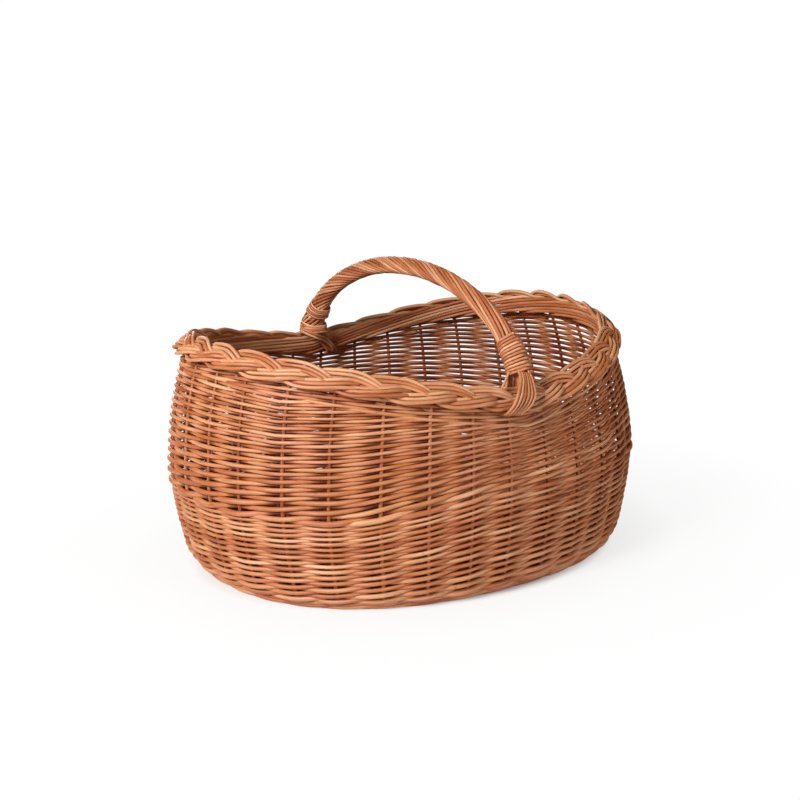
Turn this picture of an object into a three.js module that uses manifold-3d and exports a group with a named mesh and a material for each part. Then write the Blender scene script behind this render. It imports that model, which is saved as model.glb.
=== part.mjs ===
// Oval log basket of peeled willow: stakes bent up from a base of split sticks, siding woven in two bands,
// a plaited border with a saddle line, and a bow handle roped with rods and bound at both feet.
// Millimetres, +Z up, +X along the basket, origin on the floor under its middle.
import * as THREE from "three";
import { mergeVertices } from "three/addons/utils/BufferGeometryUtils.js";
import Module from "manifold-3d";

// Wall, measured to the line of the stakes
const RIM_HALF_LENGTH = 238;
const RIM_HALF_WIDTH = 191;
// Height of the border's middle where the handle lands, and how much higher its two ends stand
const RIM_HEIGHT = 190;
const RIM_RISE = 45;
const BULGE_HALF_LENGTH = 252;
const BULGE_HALF_WIDTH = 198;
const BULGE_HEIGHT = 84;
const FOOT_HALF_LENGTH = 236;
const FOOT_HALF_WIDTH = 187;
// Radius of the bend in which a stake turns up from the base
const FOOT_BEND = 18;
// Exponent of the plan's rounded oval, and of the rim's rise towards the ends
const PLAN_SQUARENESS = 2.2;
const SADDLE_POWER = 1.5;

// Rods of the wall
const STAKE_DIAMETER = 6;
const WEAVER_DIAMETER = 6.2;
// Side of a foot rod's squared section
const FOOT_ROD_THICKNESS = 5;
// Share of the siding's rows that is in the lower band
const LOWER_BAND_SHARE = 0.38;

// Base
const LONG_STICKS = 3;
const CROSS_STICKS = 5;
const LONG_STICK_DIAMETER = 5.2;
const CROSS_STICK_DIAMETER = 9;
const CROSS_STICK_SPACING = 25;
const BASE_WEAVER_DIAMETER = 4.6;
const BASE_ROUND_PITCH = 11;
// How much higher the middle of the base stands than its edge
const BASE_CROWN = 26;
// Share of a stick's outer part where the weaving starts and ends, and where a stake's tail starts
const BASE_WEAVE_START = 0.3;
const BASE_WEAVE_END = 0.9;
const STAKE_TAIL_START = 0.72;
// Length in which the stakes spread from beside the sticks to their even spacing
const STAKE_SPREAD = 16;

// Border
const PLAIT_STRANDS = 3;
const PLAIT_STRAND_DIAMETER = 6.6;
// Sideways reach of a strand's middle from the border's middle line
const PLAIT_REACH = 9.2;
const PLAIT_PERIODS = 11;
// Slope of the plait's face below the horizontal, on its outer side
const PLAIT_TILT = THREE.MathUtils.degToRad(45);

// Handle
const HANDLE_TOP = 300;
const BOW_DIAMETER = 5.2;
// Length of the bow's ends inside the wall, below the border's middle
const BOW_DEPTH = 60;
const ROPE_RODS = 6;
const ROPE_ROD_DIAMETER = 5.2;
const ROPE_TURNS = 4;
// Sideways sweep of the rod ends that are carried over the border, and their length below it
const TAIL_SWEEP = 16;
const TAIL_LENGTH = 12;
// Angle below the border's middle at which a rod end leaves the plait's outside for the wall
const TAIL_LEAVE = THREE.MathUtils.degToRad(9);
const BINDING_LOOPS = 8;
const SKEIN_WIDTH = 2.4;
const SKEIN_THICKNESS = 1.6;

// Clearances
const SEAT_GAP = 0.3;
const WEAVE_GAP = 0.4;
const ROW_GAP = 0.9;
const PLAIT_GAP = 0.5;
const SKEIN_GAP = 1.5;
// Depth to which the foot rods are worn flat where they stand
const FOOT_FLAT = 0.5;

// Fineness of the facets
const STAKE_SIDES = 4;
const WEAVER_SIDES = 4;
const STICK_SIDES = 8;
const SQUARE_SIDES = 4;
const PLAIT_SIDES = 5;
const PLAIT_STEPS_PER_PERIOD = 12;
const ROPE_SIDES = 5;
const ROPE_STEPS_PER_TURN = 8;
const BOW_SIDES = 5;
const SKEIN_STEPS_PER_LOOP = 12;
const PLAN_POINTS = 96;
const LENGTH_DIVISIONS = 2000;

const UP = new THREE.Vector3(0, 0, 1);
const SIDEWAYS = new THREE.Vector3(1, 0, 0);
const STICK_ENDS = 2 * (LONG_STICKS + CROSS_STICKS);
const STAKES = 2 * STICK_ENDS;
const wasm = await Module();
wasm.setup();

// The path of a rod: given points, and at each point the direction in which the section's first axis lies
class RodPath extends THREE.Curve {
  constructor(points, sideDirections, closed) {
    super();
    const count = points.length;
    const beside = (i) => (closed ? (i + count) % count : THREE.MathUtils.clamp(i, 0, count - 1));
    const order = points.map((_, i) => i);
    if (closed) order.push(0);
    this.points = order.map((i) => points[i]);
    this.tangents = order.map((i) => points[beside(i + 1)].clone().sub(points[beside(i - 1)]).normalize());
    this.normals = this.tangents.map((tangent, k) => {
      return sideDirections[order[k]].clone().projectOnPlane(tangent).normalize();
    });
    this.binormals = this.normals.map((side, k) => this.tangents[k].clone().cross(side));
  }

  getSpacedPoints() {
    return this.points;
  }

  computeFrenetFrames() {
    return { tangents: this.tangents, normals: this.normals, binormals: this.binormals };
  }
}

// A rod of a many-sided section along points, with ends unless it closes into a ring
function rodGeometry(points, sideDirections, section) {
  const { along, across, sides, turn = 0, closed = false } = section;
  const corners = Array.from({ length: sides }, (_, i) => {
    const angle = turn + (2 * Math.PI * i) / sides;
    return new THREE.Vector2((along / 2) * Math.cos(angle), (across / 2) * Math.sin(angle));
  });
  const path = new RodPath(points, sideDirections, closed);
  const steps = path.points.length - 1;
  const rod = new THREE.ExtrudeGeometry(new THREE.Shape(corners), { steps, extrudePath: path });
  if (!closed) return rod;
  const walls = rod.groups.find((group) => group.materialIndex === 1);
  const kept = rod.attributes.position.array.slice(3 * walls.start, 3 * (walls.start + walls.count));
  const ring = new THREE.BufferGeometry();
  ring.setAttribute("position", new THREE.BufferAttribute(kept, 3));
  return ring;
}

function round(diameter, sides, more = {}) {
  return { along: diameter, across: diameter, sides, ...more };
}

// A four-sided section with flat faces towards its side direction
function flat(thickness, width, more = {}) {
  return {
    along: thickness * Math.SQRT2,
    across: width * Math.SQRT2,
    sides: SQUARE_SIDES,
    turn: Math.PI / SQUARE_SIDES,
    ...more,
  };
}

// Solids for the cuts
function solidOf(geometry) {
  const bare = geometry.clone();
  bare.deleteAttribute("normal");
  bare.deleteAttribute("uv");
  const merged = mergeVertices(bare);
  const mesh = new wasm.Mesh({
    numProp: 3,
    vertProperties: merged.attributes.position.array,
    triVerts: new Uint32Array(merged.index.array),
  });
  return new wasm.Manifold(mesh);
}

function cutGeometry(geometry, cutter) {
  const mesh = solidOf(geometry).subtract(solidOf(cutter)).getMesh();
  const cut = new THREE.BufferGeometry();
  cut.setAttribute("position", new THREE.BufferAttribute(mesh.vertProperties, 3));
  cut.setIndex(new THREE.BufferAttribute(mesh.triVerts, 1));
  return cut;
}

const basket = new THREE.Group();

function addPiece(name, geometry, color, roughness) {
  const material = new THREE.MeshStandardMaterial({ color, roughness, metalness: 0 });
  const mesh = new THREE.Mesh(geometry, material);
  mesh.name = name;
  basket.add(mesh);
}

const STAKE_COLOR = 0xc98f5c;
const WEAVER_COLOR = 0xd9a26c;
const BASE_COLOR = 0xb98453;
const BORDER_COLOR = 0xcf9660;
const HANDLE_COLOR = 0xc48a58;
const SKEIN_COLOR = 0xdcab78;
const PEELED_ROUGHNESS = 0.55;
const SKEIN_ROUGHNESS = 0.45;

// How far a rod's middle stands off the stake line so that its straight runs clear a stake by the gap
function weaveLift(stakeDiameter, rodDiameter, spacing) {
  const clear = (stakeDiameter + rodDiameter) / 2 + WEAVE_GAP;
  return clear / Math.sqrt(1 - ((2 * clear) / spacing) ** 2);
}

// Plan: points of the rounded oval, as shares of the half length and half width, even along the bulge
const planPoints = Array.from({ length: PLAN_POINTS }, (_, i) => {
  const angle = (2 * Math.PI * i) / PLAN_POINTS;
  const c = Math.cos(angle);
  const s = Math.sin(angle);
  const power = 2 / PLAN_SQUARENESS;
  return new THREE.Vector3(
    BULGE_HALF_LENGTH * Math.sign(c) * Math.abs(c) ** power,
    BULGE_HALF_WIDTH * Math.sign(s) * Math.abs(s) ** power,
    0,
  );
});
const plan = new THREE.CatmullRomCurve3(planPoints, true);
plan.arcLengthDivisions = LENGTH_DIVISIONS;

function planShare(u) {
  const p = plan.getPointAt(u - Math.floor(u));
  return { x: p.x / BULGE_HALF_LENGTH, y: p.y / BULGE_HALF_WIDTH };
}

// Profile: half length, half width and height, from the flat run over the foot rods up to the border's middle
const FOOT_RUN = 2 * FOOT_ROD_THICKNESS + 3 * WEAVE_GAP;
const BASE_INSET = FOOT_BEND + FOOT_RUN;
const baseRingHalfLength = FOOT_HALF_LENGTH - BASE_INSET;
const baseRingHalfWidth = FOOT_HALF_WIDTH - BASE_INSET;
const footSpacing = (2 * Math.PI * Math.min(baseRingHalfLength, baseRingHalfWidth)) / STAKES;
const footLift = weaveLift(STAKE_DIAMETER, FOOT_ROD_THICKNESS, footSpacing);
const BASE_HEIGHT = footLift + FOOT_ROD_THICKNESS / 2 - FOOT_FLAT;

function profilePoint(inset, height) {
  return new THREE.Vector3(FOOT_HALF_LENGTH - inset, FOOT_HALF_WIDTH - inset, height);
}

const bendShare = 1 - Math.SQRT1_2;
const wallCurve = new THREE.CatmullRomCurve3([
  profilePoint(FOOT_BEND, BASE_HEIGHT),
  profilePoint(FOOT_BEND * bendShare, BASE_HEIGHT + FOOT_BEND * bendShare),
  profilePoint(0, BASE_HEIGHT + FOOT_BEND),
  new THREE.Vector3(BULGE_HALF_LENGTH, BULGE_HALF_WIDTH, BULGE_HEIGHT),
  new THREE.Vector3(RIM_HALF_LENGTH, RIM_HALF_WIDTH, RIM_HEIGHT),
]);
const knotShares = [0, 0.25, 0.5, 0.625, 0.75, 0.875, 1];
const wallKnots = knotShares.map((share) => wallCurve.getPoint(share));
const knots = [profilePoint(BASE_INSET, BASE_HEIGHT), ...wallKnots];
const knotLengths = [0];
for (let i = 1; i < knots.length; i++) {
  const step = Math.hypot(knots[i].y - knots[i - 1].y, knots[i].z - knots[i - 1].z);
  knotLengths.push(knotLengths[i - 1] + step);
}
const RIM_LENGTH = knotLengths[knots.length - 1];

// A point of the wall: u is the share of the way round, length is measured up the middle of a long side
function wallPoint(u, length) {
  let i = 1;
  while (i < knots.length - 1 && knotLengths[i] < length) i++;
  const share = (length - knotLengths[i - 1]) / (knotLengths[i] - knotLengths[i - 1]);
  const p = knots[i - 1].clone().lerp(knots[i], share);
  const at = planShare(u);
  const stretch = 1 + (RIM_RISE / (RIM_HEIGHT - BASE_HEIGHT)) * Math.abs(at.x) ** SADDLE_POWER;
  return new THREE.Vector3(p.x * at.x, p.y * at.y, BASE_HEIGHT + (p.z - BASE_HEIGHT) * stretch);
}

// Outward direction of the wall, taken over a short length to either side
const NORMAL_STEP_U = 0.25 / STAKES;
const NORMAL_STEP_LENGTH = STAKE_DIAMETER / 2;
function wallOut(u, length) {
  const low = Math.max(length - NORMAL_STEP_LENGTH, 0);
  const high = Math.min(length + NORMAL_STEP_LENGTH, RIM_LENGTH);
  const around = wallPoint(u + NORMAL_STEP_U, length).sub(wallPoint(u - NORMAL_STEP_U, length));
  const upward = wallPoint(u, high).sub(wallPoint(u, low));
  return around.cross(upward).normalize();
}

function stakeShare(i) {
  return (i + 0.5) / STAKES;
}

// Border: three strands plaited on the rim line, each a closed ring, its face sloping outwards
const rimOut = (u) => {
  const around = wallPoint(u + NORMAL_STEP_U, RIM_LENGTH).sub(wallPoint(u - NORMAL_STEP_U, RIM_LENGTH));
  return around.cross(UP).normalize();
};
const strandRadius = PLAIT_STRAND_DIAMETER / 2;
// Neighbouring strands pass each other a third of a period apart, where their heights differ the most
const plaitHeight = (PLAIT_STRAND_DIAMETER + PLAIT_GAP) / (2 * Math.sin((2 * Math.PI) / PLAIT_STRANDS));

// Offsets of a strand's middle from the rim line, outwards and upwards: it lies on top as it leaves an edge
function plaitOffset(phase) {
  const sideways = PLAIT_REACH * Math.sin(phase);
  const height = -plaitHeight * Math.sin(2 * phase);
  return {
    out: sideways * Math.cos(PLAIT_TILT) + height * Math.sin(PLAIT_TILT),
    up: height * Math.cos(PLAIT_TILT) - sideways * Math.sin(PLAIT_TILT),
  };
}

// How far the plait reaches from the rim line, inwards or downwards
const plaitPhases = Array.from({ length: 360 }, (_, i) => THREE.MathUtils.degToRad(i));
const plaitInward = Math.max(...plaitPhases.map((phase) => -plaitOffset(phase).out)) + strandRadius;
const plaitDrop = Math.max(...plaitPhases.map((phase) => -plaitOffset(phase).up)) + strandRadius;

for (let strand = 0; strand < PLAIT_STRANDS; strand++) {
  const steps = PLAIT_PERIODS * PLAIT_STEPS_PER_PERIOD;
  const points = [];
  const sides = [];
  for (let i = 0; i < steps; i++) {
    const u = i / steps;
    const phase = 2 * Math.PI * (i / PLAIT_STEPS_PER_PERIOD + strand / PLAIT_STRANDS);
    const out = rimOut(u);
    const offset = plaitOffset(phase);
    const rim = wallPoint(u, RIM_LENGTH);
    points.push(rim.addScaledVector(out, offset.out).addScaledVector(UP, offset.up));
    sides.push(out.multiplyScalar(Math.cos(PLAIT_TILT)).addScaledVector(UP, -Math.sin(PLAIT_TILT)));
  }
  const section = round(PLAIT_STRAND_DIAMETER, PLAIT_SIDES, { closed: true });
  addPiece(`plait_strand_${strand + 1}`, rodGeometry(points, sides, section), BORDER_COLOR, PEELED_ROUGHNESS);
}

// Base sticks: each has two outer parts that fan from the middle field to the edge
const stickReach = (CROSS_STICKS - 1) * 0.5 * CROSS_STICK_SPACING + CROSS_STICK_SPACING;
const longPitch = LONG_STICK_DIAMETER + SEAT_GAP;
const fieldHalfWidth = (LONG_STICKS - 1) * 0.5 * longPitch + LONG_STICK_DIAMETER / 2 + SEAT_GAP;
const edgeHalfLength = baseRingHalfLength - STAKE_SPREAD;
const edgeHalfWidth = baseRingHalfWidth - STAKE_SPREAD;

function edgePoint(u) {
  const at = planShare(u);
  return new THREE.Vector3(edgeHalfLength * at.x, edgeHalfWidth * at.y, BASE_HEIGHT);
}

function stickEnd(inner, u, radius) {
  return { inner, outer: edgePoint(u), u, radius };
}

// A point of a stick's outer part, which rises from the edge towards the crowned middle
function stickPoint(end, share) {
  const p = end.inner.clone().lerp(end.outer, share);
  p.z = BASE_HEIGHT + BASE_CROWN * (1 - share);
  return p;
}

const stickEnds = [];
function addStick(name, ends, diameter, slit) {
  stickEnds.push(...ends);
  const path = [1, 0].map((share) => stickPoint(ends[0], share));
  path.push(...[0, 1].map((share) => stickPoint(ends[1], share)));
  const up = path.map(() => UP);
  const section = round(diameter, STICK_SIDES, { turn: Math.PI / STICK_SIDES });
  const rod = rodGeometry(path, up, section);
  addPiece(name, slit ? cutGeometry(rod, slit) : rod, BASE_COLOR, PEELED_ROUGHNESS);
}

for (let i = 0; i < LONG_STICKS; i++) {
  const place = i - (LONG_STICKS - 1) / 2;
  const y = place * longPitch;
  const radius = LONG_STICK_DIAMETER / 2;
  const ends = [
    stickEnd(new THREE.Vector3(-stickReach, y, 0), 0.5 - place / STICK_ENDS, radius),
    stickEnd(new THREE.Vector3(stickReach, y, 0), place / STICK_ENDS, radius),
  ];
  addStick(`base_stick_long_${i + 1}`, ends, LONG_STICK_DIAMETER, null);
}

for (let i = 0; i < CROSS_STICKS; i++) {
  const place = i - (CROSS_STICKS - 1) / 2;
  const x = place * CROSS_STICK_SPACING;
  const radius = CROSS_STICK_DIAMETER / 2;
  const start = fieldHalfWidth + CROSS_STICK_DIAMETER / 2;
  const ends = [
    stickEnd(new THREE.Vector3(x, -start, 0), 0.75 + place / STICK_ENDS, radius),
    stickEnd(new THREE.Vector3(x, start, 0), 0.25 - place / STICK_ENDS, radius),
  ];
  const slit = new THREE.BoxGeometry(
    2 * CROSS_STICK_DIAMETER,
    2 * fieldHalfWidth,
    LONG_STICK_DIAMETER + 2 * SEAT_GAP,
  );
  slit.translate(x, 0, BASE_HEIGHT + BASE_CROWN);
  addStick(`base_stick_cross_${i + 1}`, ends, CROSS_STICK_DIAMETER, slit);
}

const wrapShare = (u) => u - Math.floor(u + 0.5 / STICK_ENDS);
stickEnds.forEach((end) => {
  end.order = Math.round(wrapShare(end.u) * STICK_ENDS);
});
stickEnds.sort((a, b) => a.order - b.order);

// Sideways direction at a stick's outer part, towards larger u
function stickSide(end) {
  return UP.clone().cross(end.outer.clone().sub(end.inner).setZ(0)).normalize();
}

// Lift of the base weaver: its run from stick to stick clears the stick and the stake tails beside it
const tailOffset = (end) => end.radius + STAKE_DIAMETER / 2 + SEAT_GAP;
const baseLift = Math.max(
  ...stickEnds.map((end, i) => {
    const next = stickEnds[(i + 1) % STICK_ENDS];
    const spacing = stickPoint(end, STAKE_TAIL_START).distanceTo(stickPoint(next, STAKE_TAIL_START));
    const besideStick = 1 - (2 * tailOffset(end)) / spacing;
    const overTail = weaveLift(STAKE_DIAMETER, BASE_WEAVER_DIAMETER, spacing) / besideStick;
    return Math.max(overTail, weaveLift(2 * end.radius, BASE_WEAVER_DIAMETER, spacing));
  }),
);

const weaveReach = (BASE_WEAVE_END - BASE_WEAVE_START) * edgeHalfWidth;
const baseRounds = Math.max(1, Math.floor(weaveReach / BASE_ROUND_PITCH));
const baseCrossings = baseRounds * STICK_ENDS;
const basePath = [];
for (let k = 0; k <= baseCrossings; k++) {
  const end = stickEnds[k % STICK_ENDS];
  const share = BASE_WEAVE_START + ((BASE_WEAVE_END - BASE_WEAVE_START) * k) / baseCrossings;
  // One step over two sticks in each round keeps neighbouring rounds on opposite sides
  const side = (k + Math.floor(k / STICK_ENDS)) % 2 ? -1 : 1;
  basePath.push(stickPoint(end, share).addScaledVector(UP, side * baseLift));
}
const baseSection = round(BASE_WEAVER_DIAMETER, WEAVER_SIDES);
const baseWeaver = rodGeometry(basePath, basePath.map(() => UP), baseSection);
addPiece("base_weaver", baseWeaver, BASE_COLOR, PEELED_ROUGHNESS);

// Stakes: a tail beside a base stick, the bend over the foot rods, and the wall up to the border
for (let i = 0; i < STAKES; i++) {
  const u = stakeShare(i);
  const end = stickEnds[Math.round(u * STICK_ENDS) % STICK_ENDS];
  const side = i % 2 ? -1 : 1;
  const shift = stickSide(end).multiplyScalar(side * tailOffset(end));
  const points = [stickPoint(end, STAKE_TAIL_START).add(shift), stickPoint(end, 1).add(shift)];
  const rim = wallPoint(u, RIM_LENGTH);
  const around = wallPoint(u + NORMAL_STEP_U, RIM_LENGTH).sub(wallPoint(u - NORMAL_STEP_U, RIM_LENGTH));
  const rimTilt = Math.asin(Math.abs(around.z) / around.length());
  const topGap = (plaitDrop + SEAT_GAP) / Math.cos(rimTilt) + (STAKE_DIAMETER / 2) * Math.tan(rimTilt);
  const top = rim.z - topGap;
  for (let k = 0; k < knots.length; k++) {
    const p = wallPoint(u, knotLengths[k]);
    if (p.z < top) {
      points.push(p);
      continue;
    }
    const below = points[points.length - 1];
    points.push(below.clone().lerp(p, (top - below.z) / (p.z - below.z)));
    break;
  }
  const sides = points.map(() => around);
  const section = round(STAKE_DIAMETER, STAKE_SIDES);
  const name = `stake_${String(i + 1).padStart(2, "0")}`;
  addPiece(name, rodGeometry(points, sides, section), STAKE_COLOR, PEELED_ROUGHNESS);
}

// Foot rods: two rings woven in opposite step under the flat run of the stakes, worn flat on the floor
const floorCut = new THREE.BoxGeometry(4 * FOOT_HALF_LENGTH, 4 * FOOT_HALF_WIDTH, 2 * BASE_HEIGHT);
floorCut.translate(0, 0, -BASE_HEIGHT);
["inner", "outer"].forEach((name, ring) => {
  const length = WEAVE_GAP + FOOT_ROD_THICKNESS / 2 + ring * (FOOT_ROD_THICKNESS + WEAVE_GAP);
  const points = [];
  for (let i = 0; i < STAKES; i++) {
    const side = (i + ring) % 2 ? 1 : -1;
    points.push(wallPoint(stakeShare(i), length).addScaledVector(UP, side * footLift));
  }
  const section = flat(FOOT_ROD_THICKNESS, FOOT_ROD_THICKNESS, { closed: true });
  const rod = rodGeometry(points, points.map(() => UP), section);
  addPiece(`foot_rod_${name}`, cutGeometry(rod, floorCut), WEAVER_COLOR, PEELED_ROUGHNESS);
});

// Siding: in each band two weavers climb half a turn apart, in and out of the stakes in opposite step
// The first row stands a rod's width up the bend, whose inner side brings rods closer together
const sidingStart = FOOT_RUN + WEAVER_DIAMETER;
const sidingEnd = RIM_LENGTH - plaitDrop - SEAT_GAP - WEAVER_DIAMETER / 2;
const sidingRows = Math.floor((sidingEnd - sidingStart) / (WEAVER_DIAMETER + ROW_GAP)) - 1;
const lowerTurns = Math.max(1, Math.round((LOWER_BAND_SHARE * sidingRows) / 2));
const upperTurns = Math.max(1, Math.floor(sidingRows / 2) - lowerTurns);
const rowPitch = (sidingEnd - sidingStart) / (2 * (lowerTurns + upperTurns) + 1);

function addWeaver(name, start, turns, firstStake, inStep) {
  const points = [];
  const sides = [];
  for (let k = 0; k <= turns * STAKES; k++) {
    const stake = firstStake + k;
    const u = stakeShare(stake);
    const length = start + (2 * rowPitch * k) / STAKES;
    const here = wallPoint(u, length);
    const spacing = here.distanceTo(wallPoint(stakeShare(stake + 1), length));
    const lift = weaveLift(STAKE_DIAMETER, WEAVER_DIAMETER, spacing);
    const out = wallOut(u, length);
    const side = (stake + inStep) % 2 ? 1 : -1;
    points.push(here.addScaledVector(out, side * lift));
    sides.push(out);
  }
  const section = round(WEAVER_DIAMETER, WEAVER_SIDES);
  addPiece(name, rodGeometry(points, sides, section), WEAVER_COLOR, PEELED_ROUGHNESS);
}

const upperStart = sidingStart + rowPitch * (2 * lowerTurns + 1);
for (let w = 0; w < 2; w++) {
  const firstStake = (w * STAKES) / 2;
  addWeaver(`lower_weaver_${w + 1}`, sidingStart, lowerTurns, firstStake, w);
  addWeaver(`upper_weaver_${w + 1}`, upperStart, upperTurns, firstStake, w);
}

// Handle bow: an arch over the short axis, whose ends pass inside the border and down between two stakes
const rimSpacing = (Math.PI * (RIM_HALF_LENGTH + RIM_HALF_WIDTH)) / STAKES;
const wallLift = weaveLift(STAKE_DIAMETER, WEAVER_DIAMETER, rimSpacing);
const bowRadius = BOW_DIAMETER / 2;
const ropeRadius = ROPE_ROD_DIAMETER / 2;
const bowInset = WEAVER_DIAMETER / 2 + SEAT_GAP + bowRadius;
const bowRimInset = plaitInward + SEAT_GAP + bowRadius;
const FAR_FOOT = 0.25;
const BOW_STEPS = 8;

// A point off the straight run of the weave between the two stakes at the far foot
function insideWall(length, inset) {
  const before = wallPoint(stakeShare(STAKES / 4 - 1), length);
  const after = wallPoint(stakeShare(STAKES / 4), length);
  return before.lerp(after, 0.5).addScaledVector(wallOut(FAR_FOOT, length), -inset);
}

const halfBow = [
  insideWall(RIM_LENGTH - BOW_DEPTH, bowInset),
  insideWall(RIM_LENGTH - (BOW_DEPTH + plaitDrop) / 2, bowInset),
  insideWall(RIM_LENGTH - plaitDrop - SEAT_GAP, bowInset + bowRadius),
];
for (let i = 0; i < BOW_STEPS; i++) {
  const angle = (0.5 * Math.PI * i) / BOW_STEPS;
  const span = RIM_HALF_WIDTH - bowRimInset;
  const rise = HANDLE_TOP - RIM_HEIGHT;
  halfBow.push(new THREE.Vector3(0, span * Math.cos(angle), RIM_HEIGHT + rise * Math.sin(angle)));
}
const mirrored = (p) => new THREE.Vector3(p.x, -p.y, p.z);
const bowCurve = new THREE.CatmullRomCurve3([
  ...halfBow.map(mirrored),
  new THREE.Vector3(0, 0, HANDLE_TOP),
  ...halfBow.slice().reverse(),
]);
bowCurve.arcLengthDivisions = LENGTH_DIVISIONS;
const bowLength = bowCurve.getLength();

// Distance along the bow at which it first reaches a height
const HEIGHT_HALVINGS = 40;
function bowAtHeight(height) {
  let low = 0;
  let high = 0.5;
  for (let i = 0; i < HEIGHT_HALVINGS; i++) {
    const middle = (low + high) / 2;
    if (bowCurve.getPointAt(middle).z < height) low = middle;
    else high = middle;
  }
  return low * bowLength;
}

// A point beside the bow: the angle runs from the arch's outer side towards the length of the basket
function besideBow(distance, radius, angle) {
  const share = distance / bowLength;
  const direction = bowCurve.getTangentAt(share);
  const outer = new THREE.Vector3().crossVectors(SIDEWAYS, direction).normalize();
  const side = outer.multiplyScalar(Math.cos(angle)).addScaledVector(SIDEWAYS, Math.sin(angle));
  return { side, point: bowCurve.getPointAt(share).addScaledVector(side, radius) };
}

// The rope rods lie on the bow so that their straight steps clear it
const ropeRing = (bowRadius + ropeRadius + SEAT_GAP) / Math.cos(Math.PI / ROPE_STEPS_PER_TURN);
const overRadius = PLAIT_REACH + strandRadius + SEAT_GAP + ropeRadius;
const skeinStand = ropeRing + ropeRadius + PLAIT_GAP + SKEIN_THICKNESS / 2;
const bindingRing = skeinStand / Math.cos(Math.PI / SKEIN_STEPS_PER_LOOP);
const bindingPitch = SKEIN_WIDTH + SKEIN_GAP;
const bindingHeight = BINDING_LOOPS * bindingPitch;
const bindingStart = bowAtHeight(RIM_HEIGHT + overRadius + SKEIN_WIDTH);
const bindingEnd = bindingStart + bindingHeight;

// Stations along the bow that its own facets and the rope rods share
const ropeSteps = ROPE_TURNS * ROPE_STEPS_PER_TURN;
const footStations = [0, 1, 2, 3].map((i) => (bindingStart * i) / 3);
const nearStations = [...footStations, (bindingStart + bindingEnd) / 2];
const ropeStations = [];
for (let i = 0; i <= ropeSteps; i++) {
  ropeStations.push(bindingEnd + ((bowLength - 2 * bindingEnd) * i) / ropeSteps);
}
const farStations = nearStations.map((d) => bowLength - d).reverse();
const stations = [...nearStations, ...ropeStations, ...farStations];

const bowPoints = stations.map((d) => bowCurve.getPointAt(d / bowLength));
const bowSection = round(BOW_DIAMETER, BOW_SIDES, { turn: -Math.PI / 2 });
const bow = rodGeometry(bowPoints, bowPoints.map(() => SIDEWAYS), bowSection);
addPiece("handle_bow", bow, HANDLE_COLOR, PEELED_ROUGHNESS);

// Rod ends over the border: round the plait's outside and down the wall, swept to one side
const TAIL_STEPS = 6;
function tailPath(along, startOut, outward) {
  const sweepSide = outward;
  const points = [];
  const firstAngle = Math.acos(startOut / overRadius);
  for (let i = 0; i <= TAIL_STEPS; i++) {
    const share = i / TAIL_STEPS;
    const angle = firstAngle - (TAIL_LEAVE + firstAngle) * share;
    points.push(
      new THREE.Vector3(
        along + sweepSide * TAIL_SWEEP * 0.5 * share ** 2,
        outward * (RIM_HALF_WIDTH + overRadius * Math.cos(angle)),
        RIM_HEIGHT + overRadius * Math.sin(angle),
      ),
    );
  }
  const stand = wallLift + WEAVER_DIAMETER / 2 + WEAVE_GAP + ropeRadius;
  [0.5, 1].forEach((share) => {
    const p = insideWall(RIM_LENGTH - plaitDrop - TAIL_LENGTH * share, -stand);
    points.push(new THREE.Vector3(along + sweepSide * TAIL_SWEEP * (0.5 + 0.5 * share), outward * p.y, p.z));
  });
  return points;
}

// Rope rods: three of each foot's ends go over the border, the others go down inside with the bow
for (let i = 0; i < ROPE_RODS; i++) {
  const startAngle = (2 * Math.PI * i) / ROPE_RODS;
  const outerSide = Math.cos(startAngle) > 0;
  const points = [];
  const sides = [];
  stations.forEach((d) => {
    const held = d < bindingStart - SEAT_GAP || d > bowLength - bindingStart + SEAT_GAP;
    if (outerSide && held) return;
    const share = THREE.MathUtils.clamp((d - bindingEnd) / (bowLength - 2 * bindingEnd), 0, 1);
    const beside = besideBow(d, ropeRing, startAngle + 2 * Math.PI * ROPE_TURNS * share);
    points.push(beside.point);
    sides.push(beside.side);
  });
  if (outerSide) {
    const along = Math.round(Math.sin(startAngle)) * (ROPE_ROD_DIAMETER + PLAIT_GAP);
    const startOut = ropeRing * Math.cos(startAngle) - bowRimInset;
    const near = tailPath(along, startOut, -1);
    const far = tailPath(along, startOut, 1);
    points.unshift(...near.slice().reverse());
    points.push(...far);
    sides.unshift(...near.map(() => SIDEWAYS));
    sides.push(...far.map(() => SIDEWAYS));
  }
  const section = round(ROPE_ROD_DIAMETER, ROPE_SIDES);
  addPiece(`handle_rope_${i + 1}`, rodGeometry(points, sides, section), HANDLE_COLOR, PEELED_ROUGHNESS);
}

// Least distance between turns of a winding, from its points, less the skein's width
function leastGap(points, stepsPerLoop, width) {
  let least = Infinity;
  for (let i = 0; i < points.length; i++) {
    for (let k = i + Math.floor(stepsPerLoop / 2); k < points.length; k++) {
      least = Math.min(least, points[i].distanceTo(points[k]) - width);
    }
  }
  return least;
}

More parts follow.
